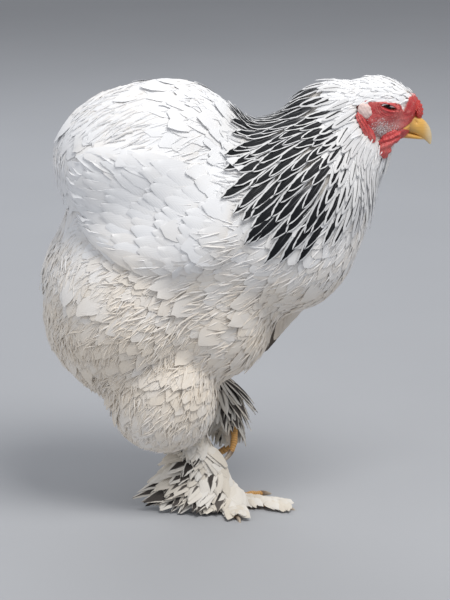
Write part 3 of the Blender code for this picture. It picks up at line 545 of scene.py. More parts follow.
class Finish:
    """A material built from expressions.

    node() takes a type, its settings, and its sockets in order or by name.
    """

    def __init__(self, name, **fixed):
        self.material = bpy.data.materials.new(name)
        self.material.use_nodes = True
        self.tree = self.material.node_tree
        self.shader = self.tree.nodes["Principled BSDF"]
        for key, value in fixed.items():
            self.shader.inputs[key.replace("_", " ")].default_value = value

    def node(self, kind, settings=None, *values, out=0, **named):
        made = self.tree.nodes.new(kind)
        for key, value in (settings or {}).items():
            setattr(made, key, value)
        pairs = list(zip(range(len(values)), values)) + [(k.replace("_", " "), v) for k, v in named.items()]
        for key, value in pairs:
            socket = made.inputs[key]
            if isinstance(value, Sock):
                self.tree.links.new(value.out, socket)
            elif value is not None:
                socket.default_value = value
        return Sock(self, made.outputs[out])

    def place(self):
        return self.node("ShaderNodeTexCoord", out="Object")

    def value(self, name):
        return self.node("ShaderNodeAttribute", {"attribute_name": name}, out="Fac")

    def vane(self):
        spot = self.node("ShaderNodeUVMap", {"uv_map": "Vane"})
        return self.split(spot)

    def split(self, vector):
        made = self.node("ShaderNodeSeparateXYZ", None, vector)
        outs = made.out.node.outputs
        return Sock(self, outs[0]), Sock(self, outs[1]), Sock(self, outs[2])

    def join(self, x, y, z):
        return self.node("ShaderNodeCombineXYZ", None, x, y, z)

    def noise(self, spot, scale, detail=3.0, roughness=0.55):
        named = {"Vector": spot, "Scale": scale, "Detail": detail, "Roughness": roughness}
        return self.node("ShaderNodeTexNoise", None, **named)

    def cells(self, spot, scale):
        return self.node("ShaderNodeTexVoronoi", None, Vector=spot, Scale=scale)

    def mix(self, share, first, second):
        made = self.tree.nodes.new("ShaderNodeMix")
        made.data_type = "RGBA"
        for key, value in ((0, share), (6, first), (7, second)):
            if isinstance(value, Sock):
                self.tree.links.new(value.out, made.inputs[key])
            else:
                made.inputs[key].default_value = value if key == 0 else (*value, 1.0)
        return Sock(self, made.outputs[2])

    def paint(self, colour=None, roughness=None, bump=None, strength=0.3, depth=0.0005):
        for key, sock in (("Base Color", colour), ("Roughness", roughness)):
            if sock is not None:
                self.tree.links.new(sock.out, self.shader.inputs[key])
        if bump is not None:
            normal = self.node("ShaderNodeBump", None, Strength=strength, Distance=depth, Height=bump)
            self.tree.links.new(normal.out, self.shader.inputs["Normal"])
        return self.material


def feather_white():
    """White, cool at the top and cream lower down as a painted warm shade, greyer at the roots as painted
    shade, with faint barbs.
    """
    dull = {"Roughness": 0.9, "Specular_IOR_Level": 0.06, "Sheen_Weight": 0.15, "Sheen_Roughness": 0.6}
    f = Finish("white_feather", **dull)
    across, along, _ = f.vane()
    _, _, z = f.split(f.place())
    tone = f.value("tone")
    # Painted shade: the lower the point, the warmer and creamier the white, standing in for the shade and
    # warm floor bounce under the body; the noise and tone add random patches.
    low = (0.30 - z).step(-0.09, 0.12)
    patch = f.noise(f.place(), 14.0, 3.0)
    warm_shade_and_tone = (low * 0.72 + (patch - 0.5) * 0.8 + (tone - 0.5) * 0.3).step(0.0, 1.0)
    clean = f.mix(warm_shade_and_tone, (0.88, 0.885, 0.90), (0.85, 0.765, 0.655))
    # Painted shade: greyer towards the root, which lies in the shade of the feather above.
    root = 1 - along.step(0.0, 0.6)
    shaded = f.mix(root * 0.30, clean, (0.78, 0.70, 0.60))
    shaft = 1 - (across - 0.5).abs().step(0.0, 0.05)
    colour = f.mix(shaft * 0.15, shaded, (0.95, 0.93, 0.90))
    # Real dark marks, and one wide faint painted shade in the hollow under the tail, darken the outer part
    # of a feather.
    stain_and_shade = f.value("stain_and_shade") * along.step(0.45, 0.80)
    colour = f.mix(stain_and_shade, colour, (0.055, 0.045, 0.040))
    barbs = ((across - 0.5).abs() * 46.0 + along * 60.0).sin()
    return f.paint(colour, bump=barbs, strength=0.12, depth=0.0002)


def feather_laced():
    """A black lance inside a white lacing, as wide as the feather's own darkness asks."""
    f = Finish("laced_hackle", Roughness=0.6, Specular_IOR_Level=0.14)
    across, along, _ = f.vane()
    dark = f.value("dark")
    tone = f.value("tone")
    edge = (across - 0.5).abs() * 2.0
    streaks = f.noise(f.join(across * 9.0, along * 1.6, tone * 30.0), 3.0, 2.0)
    reach = dark * 0.72 + (streaks - 0.5) * 0.22 - along.step(0.80, 1.0) * 0.85 * (1 - dark * 0.35)
    lance = (reach - edge).step(-0.05, 0.06)
    white = f.mix(tone * 0.6, (0.82, 0.82, 0.82), (0.60, 0.60, 0.62))
    black = f.mix(along.step(0.2, 1.0), (0.022, 0.023, 0.026), (0.006, 0.007, 0.009))
    shaft = (1 - edge.step(0.02, 0.09)) * (1 - along.step(0.3, 0.7)) * 0.35
    colour = f.mix(lance, white, f.mix(shaft, black, (0.35, 0.35, 0.36)))
    # Painted shade: darker grey towards the root, which lies under the feathers above.
    root = 1 - along.step(0.0, 0.30)
    colour = f.mix(root * 0.6, colour, (0.33, 0.33, 0.34))
    barbs = (edge * 20.0 + along * 50.0).sin()
    roughness = lance * -0.14 + 0.62
    return f.paint(colour, roughness, bump=barbs, strength=0.3, depth=0.0003)


def feather_foot():
    """Long foot feathers: dark brown and grey down the middle, cream at the edges and tips, greyer at the
    roots as painted shade; on the lifted foot the dark middles are partly painted shade.
    """
    f = Finish("foot_feather", Roughness=0.85, Specular_IOR_Level=0.08)
    across, along, _ = f.vane()
    dark = f.value("dark")
    tone = f.value("tone")
    edge = (across - 0.5).abs() * 2.0
    streaks = f.noise(f.join(across * 6.0, along * 1.2, tone * 30.0), 3.0, 3.0)
    reach = dark * 0.95 + (streaks - 0.5) * 0.5 - along.step(0.72, 1.0) * 0.55
    middle = (reach - edge).step(-0.10, 0.12)
    pale = f.mix(tone, (0.80, 0.77, 0.72), (0.72, 0.66, 0.57))
    deep = f.mix(tone, (0.035, 0.030, 0.028), (0.13, 0.115, 0.105))
    colour = f.mix(middle * dark.step(0.05, 0.3), pale, deep)
    # Painted shade: darker towards the root, which lies under the feathers above.
    root = 1 - along.step(0.0, 0.35)
    colour = f.mix(root * 0.3, colour, (0.45, 0.40, 0.35))
    barbs = (edge * 16.0 + along * 60.0).sin()
    return f.paint(colour, bump=barbs, strength=0.3, depth=0.0003)


def under_skin():
    """Matted down, warm and mottled, that shows only between the feathers."""
    f = Finish("white_down", Roughness=0.85, Specular_IOR_Level=0.15)
    down = f.noise(f.place(), 260.0, 3.0)
    colour = f.mix(down, (0.66, 0.62, 0.57), (0.84, 0.81, 0.77))
    return f.paint(colour, bump=down, strength=0.6, depth=0.0015)


def flesh(name, roughness):
    """A finish that lets a little light through, for bare red skin."""
    f = Finish(name, Roughness=roughness, Specular_IOR_Level=0.5, Subsurface_Weight=0.12)
    f.shader.inputs["Subsurface Radius"].default_value = (0.004, 0.0012, 0.0008)
    f.shader.inputs["Subsurface Scale"].default_value = 0.6
    return f


def red_skin():
    """Red skin, pebbled and creased, paler where it is thin, with a few dark bristle roots."""
    f = flesh("face_skin", 0.42)
    spot = f.place()
    pebbles = f.cells(spot, 900.0)
    folds = f.noise(spot, 210.0, 4.0)
    blotch = f.noise(spot, 70.0, 2.0)
    red = f.mix(blotch.step(0.30, 0.70), (0.60, 0.060, 0.065), (0.76, 0.17, 0.155))
    red = f.mix(folds.step(0.52, 0.75) * 0.5, red, (0.84, 0.36, 0.32))
    # Painted shade: darker red in the grooves between the pebbles, where the bump sinks.
    red = f.mix(pebbles.step(0.25, 0.75) * 0.45, red, (0.33, 0.020, 0.022))
    grey = f.value("grey")
    dots = 1 - f.cells(spot, 520.0).step(0.12, 0.30)
    pale = f.mix(dots, (0.52, 0.34, 0.32), (0.10, 0.07, 0.07))
    colour = f.mix(grey * 0.85, red, pale)
    colour = f.mix(f.value("down"), colour, (0.78, 0.75, 0.71))
    colour = f.mix(f.value("gold"), colour, (0.76, 0.40, 0.11))
    return f.paint(colour, folds * 0.25 + 0.32, bump=pebbles * -0.6 + folds, strength=0.7, depth=0.0008)


def comb_skin():
    """Deep red, finely grained."""
    f = flesh("comb_skin", 0.40)
    spot = f.place()
    grain = f.noise(spot, 600.0, 3.0)
    red = f.mix(grain.step(0.35, 0.65), (0.46, 0.030, 0.030), (0.64, 0.085, 0.070))
    return f.paint(red, grain * 0.2 + 0.32, bump=grain, strength=0.5, depth=0.0004)


def ear_down():
    """Pale pink skin, finely grained."""
    f = Finish("ear_skin", Roughness=0.7, Specular_IOR_Level=0.3)
    spot = f.place()
    grain = f.noise(spot, 500.0, 3.0)
    colour = f.mix(grain, (0.74, 0.50, 0.46), (0.82, 0.70, 0.66))
    return f.paint(colour, bump=grain, strength=0.5, depth=0.0006)


def horn(name, root, middle, tip, start, end):
    """Horn that runs from its root colour to its tip's along X, with fine growth lines."""
    f = Finish(name, Roughness=0.35, Specular_IOR_Level=0.5)
    spot = f.place()
    x, _, z = f.split(spot)
    part = (x - start) / (end - start)
    grain = f.noise(f.join(x * 60.0, z * 900.0, x * 20.0), 1.0, 3.0)
    colour = f.mix(part.step(0.0, 0.55), root, middle)
    colour = f.mix(part.step(0.65, 1.0), colour, tip)
    colour = f.mix(grain.step(0.45, 0.8) * 0.35, colour, root)
    return f.paint(colour, grain * 0.15 + 0.28, bump=grain, strength=0.2, depth=0.0003)


def eye_wet():
    """A dark brown iris round a black pupil, found from the distance to the eye's own axis."""
    f = Finish("eye_surface", Roughness=0.10, Specular_IOR_Level=0.22, Coat_Weight=0.12, Coat_Roughness=0.04)
    x, _, z = f.split(f.place())
    far = ((x - EYE_SPOT[0]) ** 2.0 + (z - EYE_SPOT[2]) ** 2.0) ** 0.5
    fleck = f.noise(f.place(), 900.0, 2.0)
    iris = f.mix(fleck, (0.060, 0.022, 0.010), (0.17, 0.075, 0.030))
    colour = f.mix(far.step(0.0026, 0.0031), (0.004, 0.003, 0.003), iris)
    colour = f.mix(far.step(0.0058, 0.0072), colour, (0.03, 0.015, 0.012))
    return f.paint(colour)


def toe_scales():
    """Orange yellow skin with cross plates on top, each plate's rim darker."""
    f = Finish("toe_skin", Roughness=0.5, Specular_IOR_Level=0.4)
    _, along, _ = f.vane()
    plates = (along * 15.0 * 6.2832).sin()
    grain = f.noise(f.place(), 420.0, 3.0)
    colour = f.mix(grain, (0.62, 0.29, 0.075), (0.72, 0.44, 0.16))
    colour = f.mix(plates.step(0.55, 1.0) * 0.7, colour, (0.30, 0.15, 0.06))
    return f.paint(colour, grain * 0.3 + 0.35, bump=plates * -1.0 + grain, strength=0.5, depth=0.0004)


def claw_shade():
    """Horn that is dark at its root and pale at its tip, with darker streaks."""
    f = Finish("claw_horn", Roughness=0.35, Specular_IOR_Level=0.5)
    _, along, _ = f.vane()
    grain = f.noise(f.place(), 380.0, 2.0)
    colour = f.mix(along.step(0.0, 0.8), (0.22, 0.14, 0.085), (0.50, 0.42, 0.33))
    colour = f.mix(grain.step(0.4, 0.8) * 0.4, colour, (0.12, 0.075, 0.05))
    return f.paint(colour, grain * 0.2 + 0.25, bump=grain, strength=0.2, depth=0.0002)


# The skin under the coat
COAT_DEPTH = 0.0075
HEAD_DEPTH = 0.0095
SHANK_DEPTH = 0.002
MELT_SIZE = 0.0035
NECK_CENTRE = (0.100, MEDIAN, 0.375)
THROAT_CENTRE = (0.150, MEDIAN, 0.412)


def make_skin():
    """One closed skin: globes cast on to the forms at the coat's depth, melted by a voxel remesh."""
    casts = [
        ball_points(COAT_FORM, TORSO_CENTRE, 70, 80, -COAT_DEPTH),
        ball_points(Union([Form(NECK), BODY_FORM]), NECK_CENTRE, 50, 60, -COAT_DEPTH),
        ball_points(Union([Form(NECK), Form(HEAD, FACE_BLEND)]), THROAT_CENTRE, 40, 48, -HEAD_DEPTH),
    ]
    for side, _ in SIDES:
        casts.append(ball_points(Form(THIGHS[side]), THIGHS[side][0].centre, 30, 36, -COAT_DEPTH))
        casts.append(shank_tube(side, -SHANK_DEPTH))
    points, faces, seen = [], [], 0
    for spots, triangles in casts:
        points.append(spots)
        faces.append(triangles + seen)
        seen += len(spots)
    mesh = bpy.data.meshes.new("skin")
    mesh.from_pydata(np.vstack(points).tolist(), [], np.vstack(faces).tolist())
    made = bpy.data.objects.new("skin", mesh)
    bpy.context.scene.collection.objects.link(made)
    remesh = made.modifiers.new("melt", "REMESH")
    remesh.mode = "VOXEL"
    remesh.voxel_size = MELT_SIZE
    soften = made.modifiers.new("soften", "SMOOTH")
    soften.iterations = 4
    graph = bpy.context.evaluated_depsgraph_get()
    final = bpy.data.meshes.new_from_object(made.evaluated_get(graph))
    made.modifiers.clear()
    made.data = final
    final.polygons.foreach_set("use_smooth", np.ones(len(final.polygons), bool))
    spot = globe_map(mesh_points(final), TORSO_CENTRE)
    index = np.empty(len(final.loops), np.int32)
    final.loops.foreach_get("vertex_index", index)
    layer = final.uv_layers.new(name="OFBake")
    layer.data.foreach_set("uv", spot[index].astype(np.float32).ravel())
    final.materials.clear()
    final.materials.append(under_skin())
    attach(made, "root")
    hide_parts("torso", "neck", "tail", "wing_right", "wing_left", "thigh_right", "thigh_left")
    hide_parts("shank_right", "shank_left", "foot_right", "foot_left")
    return made


def shank_line(side, part):
    """Points down the shank, from the hock at 0 to the pad at 1."""
    hock, foot = np.array(HOCK[side]), np.array(PAD[side]) + np.array([-0.001, 0, 0.006])
    return hock + (foot - hock) * np.asarray(part)[..., None]


def shank_tube(side, grow):
    """A round leg, a little thinner half way down."""
    part = np.linspace(-0.15, 1.03, 14)
    size = 0.0125 - 0.0030 * np.sin(part.clip(0, 1) * np.pi) + grow
    return tube_points(shank_line(side, part), size, size * 1.05, up=(1, 0, 0.4), sides=20)


CROWDING = 1.6


def skin_samples(skin, wanted):
    """Points strewn over the skin, thickest where feathers are narrow: a face drawn, and a spot in it."""
    mesh = skin.data
    mesh.calc_loop_triangles()
    corners = mesh_points(mesh)
    index = np.empty(len(mesh.loop_triangles) * 3, np.int32)
    mesh.loop_triangles.foreach_get("vertices", index)
    a, b, c = corners[index.reshape(-1, 3)].transpose(1, 0, 2)
    area = np.linalg.norm(np.cross(b - a, c - a), axis=1)
    area = area / tract_values((a + b + c) / 3)[1][:, 1] ** CROWDING
    face = DRAWS.choice(len(area), size=wanted, p=area / area.sum())
    first, second = DRAWS.random(wanted)[:, None], DRAWS.random(wanted)[:, None]
    turned = first + second > 1
    first, second = np.where(turned, 1 - first, first), np.where(turned, 1 - second, second)
    return a[face] + (b - a)[face] * first + (c - a)[face] * second


def thinned(points, apart):
    """Keeps points of a crowd so that no two kept ones are nearer than the room each asks for."""
    cell = np.floor(points / apart.max()).astype(np.int64)
    grid = {}
    kept = []
    for i in range(len(points)):
        home = tuple(cell[i])
        near = [
            k
            for dx in (-1, 0, 1)
            for dy in (-1, 0, 1)
            for dz in (-1, 0, 1)
            for k in grid.get((home[0] + dx, home[1] + dy, home[2] + dz), ())
        ]
        if near and (((points[near] - points[i]) ** 2).sum(axis=1) < apart[i] ** 2).any():
            continue
        grid.setdefault(home, []).append(i)
        kept.append(i)
    return np.array(kept)


# The body's coat
VANE_PLACES = np.array([0.0, 0.36, 0.68, 0.89, 1.0])
BARB_PLACES = np.array([0.0, 0.55, 1.0])
HEAD_BACK = 0.108
HACKLE_GROUND = 0.004
COAT_FLOOR = 0.060
FACE_OUTLINE = (
    # x and z round the bare face from the front of its upper edge, past the comb, the chin and the lobe
    (0.1494, 0.4412), (0.1627, 0.4412), (0.1710, 0.4402), (0.1775, 0.4385), (0.1819, 0.4290),
    (0.1878, 0.4445), (0.2150, 0.4460), (0.2150, 0.3900), (0.1760, 0.3950), (0.1700, 0.3800),
    (0.1600, 0.3790), (0.1560, 0.3900), (0.1555, 0.4000), (0.1490, 0.4040), (0.1400, 0.4090),
    (0.1320, 0.4280), (0.1330, 0.4390), (0.1400, 0.4430),
)
GAPE_OUTLINE = ((0.1812, 0.4112), (0.1900, 0.4165), (0.2000, 0.4200), (0.2000, 0.4040), (0.1890, 0.4080))
THROAT_TOP = 0.399
THROAT_HALF = 0.0095


def within(outline, x, z):
    """Whether spots lie inside an outline: they cross its edges an odd number of times going up."""
    odd = np.zeros(len(x), bool)
    for (x0, z0), (x1, z1) in zip(outline, outline[1:] + outline[:1]):
        height = z0 + (z1 - z0) * (x - x0) / (x1 - x0 + 1e-12)
        odd ^= ((x0 > x) != (x1 > x)) & (z < height)
    return odd


def on_face(points):
    """Whether a spot lies in the bare red face, seen from the side, and not on the feathered throat."""
    throat = (points[:, 2] < THROAT_TOP) & (np.abs(points[:, 1] - MEDIAN) < THROAT_HALF)
    return within(FACE_OUTLINE, points[:, 0], points[:, 2]) & ~throat


def under_hackle(points):
    """Whether a spot lies behind the head on the neck's share of the body."""
    neck = Form(NECK)(points)[0] < Form(TORSO)(points)[0] - HACKLE_GROUND
    return neck & (points[:, 0] > 0.0) & (points[:, 0] < HEAD_BACK)


def body_roots(skin, wanted, room):
    """Roots strewn over the skin, leaving out the face, the hackle's ground and the lower legs."""
    points = skin_samples(skin, wanted)
    points = points[~on_face(points)]
    _, kinds = tract_values(points)
    kept = thinned(points, room(kinds))
    points, kinds = points[kept], kinds[kept]
    keep = (points[:, 2] > COAT_FLOOR) & ~under_hackle(points)
    return points[keep], kinds[keep]


STAINS_AND_SHADE = (
    # x, z, how far, how dark, and the side it lies on
    (-0.138, 0.369, 0.0060, 0.85, RIGHT),
    # painted shade, wide and faint, in the hollow under the rim of the tail
    (-0.132, 0.362, 0.0200, 0.22, RIGHT),
    (-0.110, 0.399, 0.0035, 0.70, RIGHT),
    (0.041, 0.172, 0.0075, 0.90, LEFT),
    (-0.138, 0.366, 0.0070, 0.60, LEFT),
)


def stained_and_shaded(points):
    """How dark a feather is, from its distance to each dark mark and each painted shade on its own side."""
    total = np.zeros(len(points))
    side = np.where(points[:, 1] < MEDIAN, RIGHT, LEFT)
    for x, z, far, dark, on_side in STAINS_AND_SHADE:
        gap = np.hypot(points[:, 0] - x, points[:, 2] - z) / far
        total = np.maximum(total, dark * np.exp(-(gap**2)) * (side == on_side))
    return total


def make_body_coat(skin, white):
    """Broad soft vanes over the body, then fine barbs that break their edges."""
    points, kinds = body_roots(skin, 60000, lambda kinds: kinds[:, 1] * 0.40)
    count = len(points)
    lengths = kinds[:, 0] * DRAWS.uniform(0.85, 1.2, count)
    rise = DRAWS.normal(0, 0.0003, count)
    rise = rise + lumps(points)
    rise = rise + 0.0030 * (DRAWS.random(count) < 0.05) * (points[:, 0] < 0.10)
    root_level = np.minimum(-0.0012 - 0.08 * kinds[:, 0], rise - 0.0016)
    levels = np.stack([root_level, kinds[:, 2] * 0.6 - 0.0012 + rise], axis=1)
    bend = DRAWS.normal(0, 0.06 + 0.12 * kinds[:, 3])
    paths, facings = crept(COAT_FORM, points, coat_flow, lengths, levels, VANE_PLACES, bend)
    widths = kinds[:, 1] * DRAWS.uniform(0.9, 1.25, count)
    made = vane_points(paths, facings, widths, 3.0, VANE_PLACES, 0.06, 0.02, columns=4, end=0.93, jag=0.04)
    values = {"tone": DRAWS.random(count), "stain_and_shade": stained_and_shaded(paths[:, 3])}
    coat_piece("body_feathers", made, points, values, white)

    points, kinds = body_roots(skin, 130000, lambda kinds: 0.0074 - 0.0048 * kinds[:, 3])
    count = len(points)
    lengths = np.minimum(kinds[:, 0] * DRAWS.uniform(0.45, 0.9, count), 0.026)
    swell = lumps(points)
    start = DRAWS.uniform(-0.0026, -0.0008, count) + swell
    ends = kinds[:, 2] * 0.6 - 0.0010 + swell + np.abs(DRAWS.normal(0, 0.0002 + 0.0009 * kinds[:, 3]))
    levels = np.stack([start, ends], axis=1)
    bend = DRAWS.normal(0, 0.14 + 0.22 * kinds[:, 3])
    paths, facings = crept(COAT_FORM, points, coat_flow, lengths, levels, BARB_PLACES, bend)
    made = barb_points(paths, facings, DRAWS.uniform(0.0012, 0.0034, count))
    values = {"tone": DRAWS.random(count), "stain_and_shade": np.zeros(count)}
    coat_piece("body_barbs", made, points, values, white)


def barb_points(paths, facings, widths):
    """Closed spikes of three sides: a ring at the root, a ring half way, and a point at the tip."""
    count = len(paths)
    _, across, upward = frames(paths, facings)
    turn = np.radians([90, 210, 330])
    wide = np.cos(turn)[:, None, None, None]
    tall = 0.45 * np.sin(turn)[:, None, None, None]
    ring = wide * across[None] + tall * upward[None]
    half = np.stack([widths * 0.35, widths * 0.5, widths * 0], axis=1)
    rows = paths[None] + ring * half[None, :, :, None]
    rows = rows.transpose(1, 2, 0, 3)
    points = np.concatenate([rows[:, 0], rows[:, 1], paths[:, 2][:, None]], axis=1).reshape(-1, 3)
    one = [(0, 2, 1)]
    for j in range(3):
        k = (j + 1) % 3
        one += [(j, k, k + 3), (j, k + 3, j + 3), (j + 3, k + 3, 6)]
    faces = (np.array(one)[None] + (np.arange(count) * 7)[:, None, None]).reshape(-1, 3)
    vane = np.array([(0.5, 0), (0, 0), (1, 0), (0.5, 0.6), (0, 0.6), (1, 0.6), (0.5, 1)])
    return points, faces, np.tile(vane, (count, 1))


# The folded wings
WING_ROWS = (
    # ahead of the rear edge, feathers, lowest and highest place, length, width, lowest and highest level
    (-0.10, 15, -0.92, 0.70, 0.098, 0.022, -0.0020, 0.0014),
    (0.16, 14, -0.90, 0.74, 0.080, 0.022, -0.0016, 0.0017),
    (0.44, 13, -0.86, 0.76, 0.058, 0.023, -0.0020, 0.0017),
    (0.74, 13, -0.84, 0.76, 0.050, 0.022, -0.0024, 0.0014),
    (1.02, 12, -0.80, 0.72, 0.044, 0.021, -0.0028, 0.0010),
    (1.28, 10, -0.70, 0.62, 0.038, 0.019, -0.0030, 0.0004),
    (1.52, 8, -0.56, 0.48, 0.034, 0.018, -0.0032, -0.0004),
)
WING_PLACES = np.array([0.0, 0.3, 0.58, 0.80, 0.93, 1.0])


def make_wing(side, word, white):
    """Flight feathers that fold to the rear of an oval, then rows of coverts shingled over them."""
    pitch = np.radians(WING_PITCH)
    forward = np.array([np.cos(pitch), 0, np.sin(pitch)])
    upward = np.array([-np.sin(pitch), 0, np.cos(pitch)])
    spot = np.array([WING_SPOT[0], MEDIAN, WING_SPOT[2]])
    form = WingForm(side)
    roots, lengths, widths, levels = [], [], [], []
    for number, (ahead, count, low, high, length, width, root_level, tip_level) in enumerate(WING_ROWS):
        place = np.linspace(low, high, count) + DRAWS.normal(0, 0.012, count)
        if number % 2:
            place += (high - low) / count / 2
        place = place.clip(-0.96, 0.96)
        tip = ahead - 0.98 * np.sqrt(1 - place**2) + DRAWS.normal(0, 0.02, count)
        root = (tip * WING_REACH[0] + length).clip(None, 0.90 * WING_REACH[0] * np.sqrt(1 - place**2))
        centres = spot + forward * root[:, None] + upward * (place * WING_REACH[1])[:, None]
        roots.append(reached(COAT_FORM, centres, np.tile([0.0, side, 0.0], (count, 1))))
        lengths.append((root - tip * WING_REACH[0]) * DRAWS.uniform(0.95, 1.05, count))
        widths.append(width * DRAWS.uniform(0.9, 1.12, count))
        levels.append(np.stack([np.full(count, root_level), np.full(count, tip_level)], axis=1))
    roots, lengths, widths = np.vstack(roots), np.concatenate(lengths), np.concatenate(widths)
    levels = np.vstack(levels) + (DRAWS.normal(0, 0.0003, len(roots)) + 0.5 * lumps(roots))[:, None]
    bend = DRAWS.normal(0, 0.03, len(roots))
    flow = lambda points: np.tile(-forward, (len(points), 1))
    paths, facings = crept(COAT_FORM, roots, flow, lengths, levels, WING_PLACES, bend)
    made = vane_points(paths, facings, widths, 3.6, WING_PLACES, 0.03, 0.06, columns=5, end=0.94, jag=0.02)
    values = {"tone": DRAWS.random(len(roots)), "stain_and_shade": np.zeros(len(roots))}
    coat_piece(f"wing_{word}_feathers", made, roots, values, white)


QUILLS = 8
QUILL_WIDTH = 0.017


def make_far_quills(white):
    """Flight feathers of the left wing that hang along the belly, each one lower than the one before."""
    part = np.linspace(0, 1, QUILLS)
    roots = np.stack([0.098 - 0.030 * part, 0.056 + 0.006 * part, 0.248 - 0.016 * part], axis=1)
    tips = np.stack([0.074 - 0.034 * part, 0.064 + 0.004 * part, 0.196 - 0.046 * part], axis=1)
    bow = (roots + tips) / 2 + np.array([0.006, 0.006, 0.0])
    paths = curve(roots[:, None], bow[:, None], tips[:, None], WING_PLACES[None, :, None])
    facings = np.broadcast_to(np.array([0.25, 1.0, 0.1]), paths.shape)
    widths = np.full(QUILLS, QUILL_WIDTH)
    made = vane_points(paths, facings, widths, 3.6, WING_PLACES, 0.03, 0.04, columns=5, end=0.94)
    values = {"tone": DRAWS.random(QUILLS), "stain_and_shade": 0.9 * (part > 0.8)}
    coat_piece("far_quills", made, roots, values, white)


BRISTLES = 520


def make_bristles(finish):
    """Fine short bristles strewn over the cheeks, two in three of them dark."""
    form = head_form()
    count = BRISTLES
    for side, word in SIDES:
        x = DRAWS.normal(0.160, 0.0085, count).clip(0.146, 0.178)
        z = DRAWS.normal(0.4105, 0.0070, count).clip(0.399, 0.426)
        start = np.stack([x, np.full(count, MEDIAN + side * 0.020), z], axis=1)
        roots, _ = settled(form, start, np.full(count, 0.0), 4)
        flow = lambda points: np.tile([-0.9, 0.0, -0.5], (len(points), 1))
        levels = np.stack([np.full(count, -0.0004), DRAWS.uniform(0.0004, 0.0016, count)], axis=1)
        lengths = DRAWS.uniform(0.0018, 0.0040, count)
        paths, facings = crept(form, roots, flow, lengths, levels, BARB_PLACES, DRAWS.normal(0, 0.5, count))
        made = barb_points(paths, facings, DRAWS.uniform(0.0002, 0.0004, count))
        values = {"tone": DRAWS.random(count), "stain_and_shade": 0.8 * (DRAWS.random(count) < 0.65)}
        coat_piece(f"cheek_bristles_{word}", made, roots, values, finish, centre=HEAD_CENTRE)


# The hackle
HACKLE_AXIS = ((0.152, 0.428), (0.062, 0.336))
HACKLE_APEX = (0.190, MEDIAN, 0.458)
HACKLE_CENTRE = (0.10, MEDIAN, 0.38)
HACKLE_PLACES = np.array([0.0, 0.22, 0.45, 0.66, 0.83, 0.94, 1.0])
HACKLE_TIERS = 14
HACKLE_FALL = 0.10


def hackle_flow(points):
    """Away from a spot over the brow, and a little down."""
    heading = unit(points - np.array(HACKLE_APEX))
    return unit(heading - np.array([0, 0, HACKLE_FALL]))


def make_hackle(laced):
    """Tiers of lance-shaped feathers round the neck, each tier's set halfway between the last one's."""
    (x0, z0), (x1, z1) = HACKLE_AXIS
    down_neck = unit(np.array([x1 - x0, 0, z1 - z0]))
    nape = np.array([down_neck[2], 0, -down_neck[0]])
    form = Union([BODY_FORM, Form(HEAD, FACE_BLEND)])
    roots, lengths, widths = [], [], []
    for tier in range(HACKLE_TIERS):
        place = 0.02 + 1.02 * tier / (HACKLE_TIERS - 1)
        centre = np.array([x0 + (x1 - x0) * place, MEDIAN, z0 + (z1 - z0) * place])
        count = int(22 + 22 * place)
        turn = (np.arange(count) + 0.5 * (tier % 2) + DRAWS.normal(0, 0.10, count)) / count * 2 * np.pi
        rays = -nape * np.cos(turn)[:, None] + np.array([0, 1, 0]) * np.sin(turn)[:, None]
        spots = reached(form, centre, rays, -0.004)
        kept = Form(NECK)(spots)[0] < 0.003
        spots, turn = spots[kept], turn[kept]
        count = len(spots)
        roots.append(spots)
        more = 0.020 * max(place - 0.5, 0) / 0.5 * np.sin(turn) ** 4
        lengths.append((0.030 + 0.026 * place + more) * DRAWS.uniform(0.88, 1.12, count))
        widths.append((0.0085 + 0.0065 * place) * DRAWS.uniform(0.9, 1.1, count))
    roots, lengths, widths = np.vstack(roots), np.concatenate(lengths), np.concatenate(widths)
    keep = ~on_face(roots)
    roots, lengths, widths = roots[keep], lengths[keep], widths[keep]
    count = len(roots)
    levels = np.stack([np.full(count, -0.0030), 0.0030 + DRAWS.normal(0, 0.0004, count)], axis=1)
    bend = DRAWS.normal(0, 0.07, count)
    paths, facings = crept(COAT_FORM, roots, hackle_flow, lengths, levels, HACKLE_PLACES, bend)
    tips = paths[:, -1]
    down = ((tips - np.array([0.150, MEDIAN, 0.440])) @ np.array([-0.74, 0, -0.67])) / 0.163
    front = smooth(0.080, 0.125, tips[:, 0])
    dark = (0.16 + 0.84 * smooth(0.20, 0.50, down)) * (1 - 0.82 * front) * smooth(0.06, 0.24, down)
    made = vane_points(paths, facings, widths, 2.2, HACKLE_PLACES, 0.05, 0.12)
    values = {"tone": DRAWS.random(count), "dark": dark}
    coat_piece("hackle_feathers", made, roots, values, laced, centre=HACKLE_CENTRE)


# The long foot feathers
FOOT_PLACES = np.array([0.0, 0.25, 0.5, 0.72, 0.88, 1.0])
FOOT_TIERS = (
    # place down the shank, feathers, first and last bearing, shortest and longest reach from the pad,
    # lowest and highest tip, width, darkness
    (0.96, 15, 66, 172, 0.046, 0.102, 0.0012, 0.003, 0.022, 0.65),
    (0.90, 15, 70, 174, 0.048, 0.106, 0.002, 0.009, 0.022, 0.85),
    (0.82, 15, 74, 176, 0.044, 0.102, 0.004, 0.016, 0.022, 0.45),
    (0.74, 15, 78, 178, 0.040, 0.098, 0.008, 0.024, 0.021, 0.10),
    (0.64, 14, 80, 176, 0.036, 0.088, 0.013, 0.034, 0.020, 0.05),
    (0.54, 13, 84, 174, 0.032, 0.078, 0.020, 0.046, 0.019, 0.12),
    (0.44, 12, 86, 172, 0.028, 0.066, 0.030, 0.058, 0.018, 0.12),
    (0.34, 10, 88, 170, 0.022, 0.052, 0.042, 0.070, 0.017, 0.05),
)
FAN_FLATNESS = np.array([1, 0.72, 1])
LIFTED_SHARE = 0.62
HANGING = 240
HANGING_FLOOR = 0.047
TOE_FEATHERS = (("middle", 70), ("outer", 60))
FEATHER_FLOOR = 0.0004
SHANK_FEATHERS = 420
STRIPE_BEARING = 125.0
STRIPE_WIDTH = 13


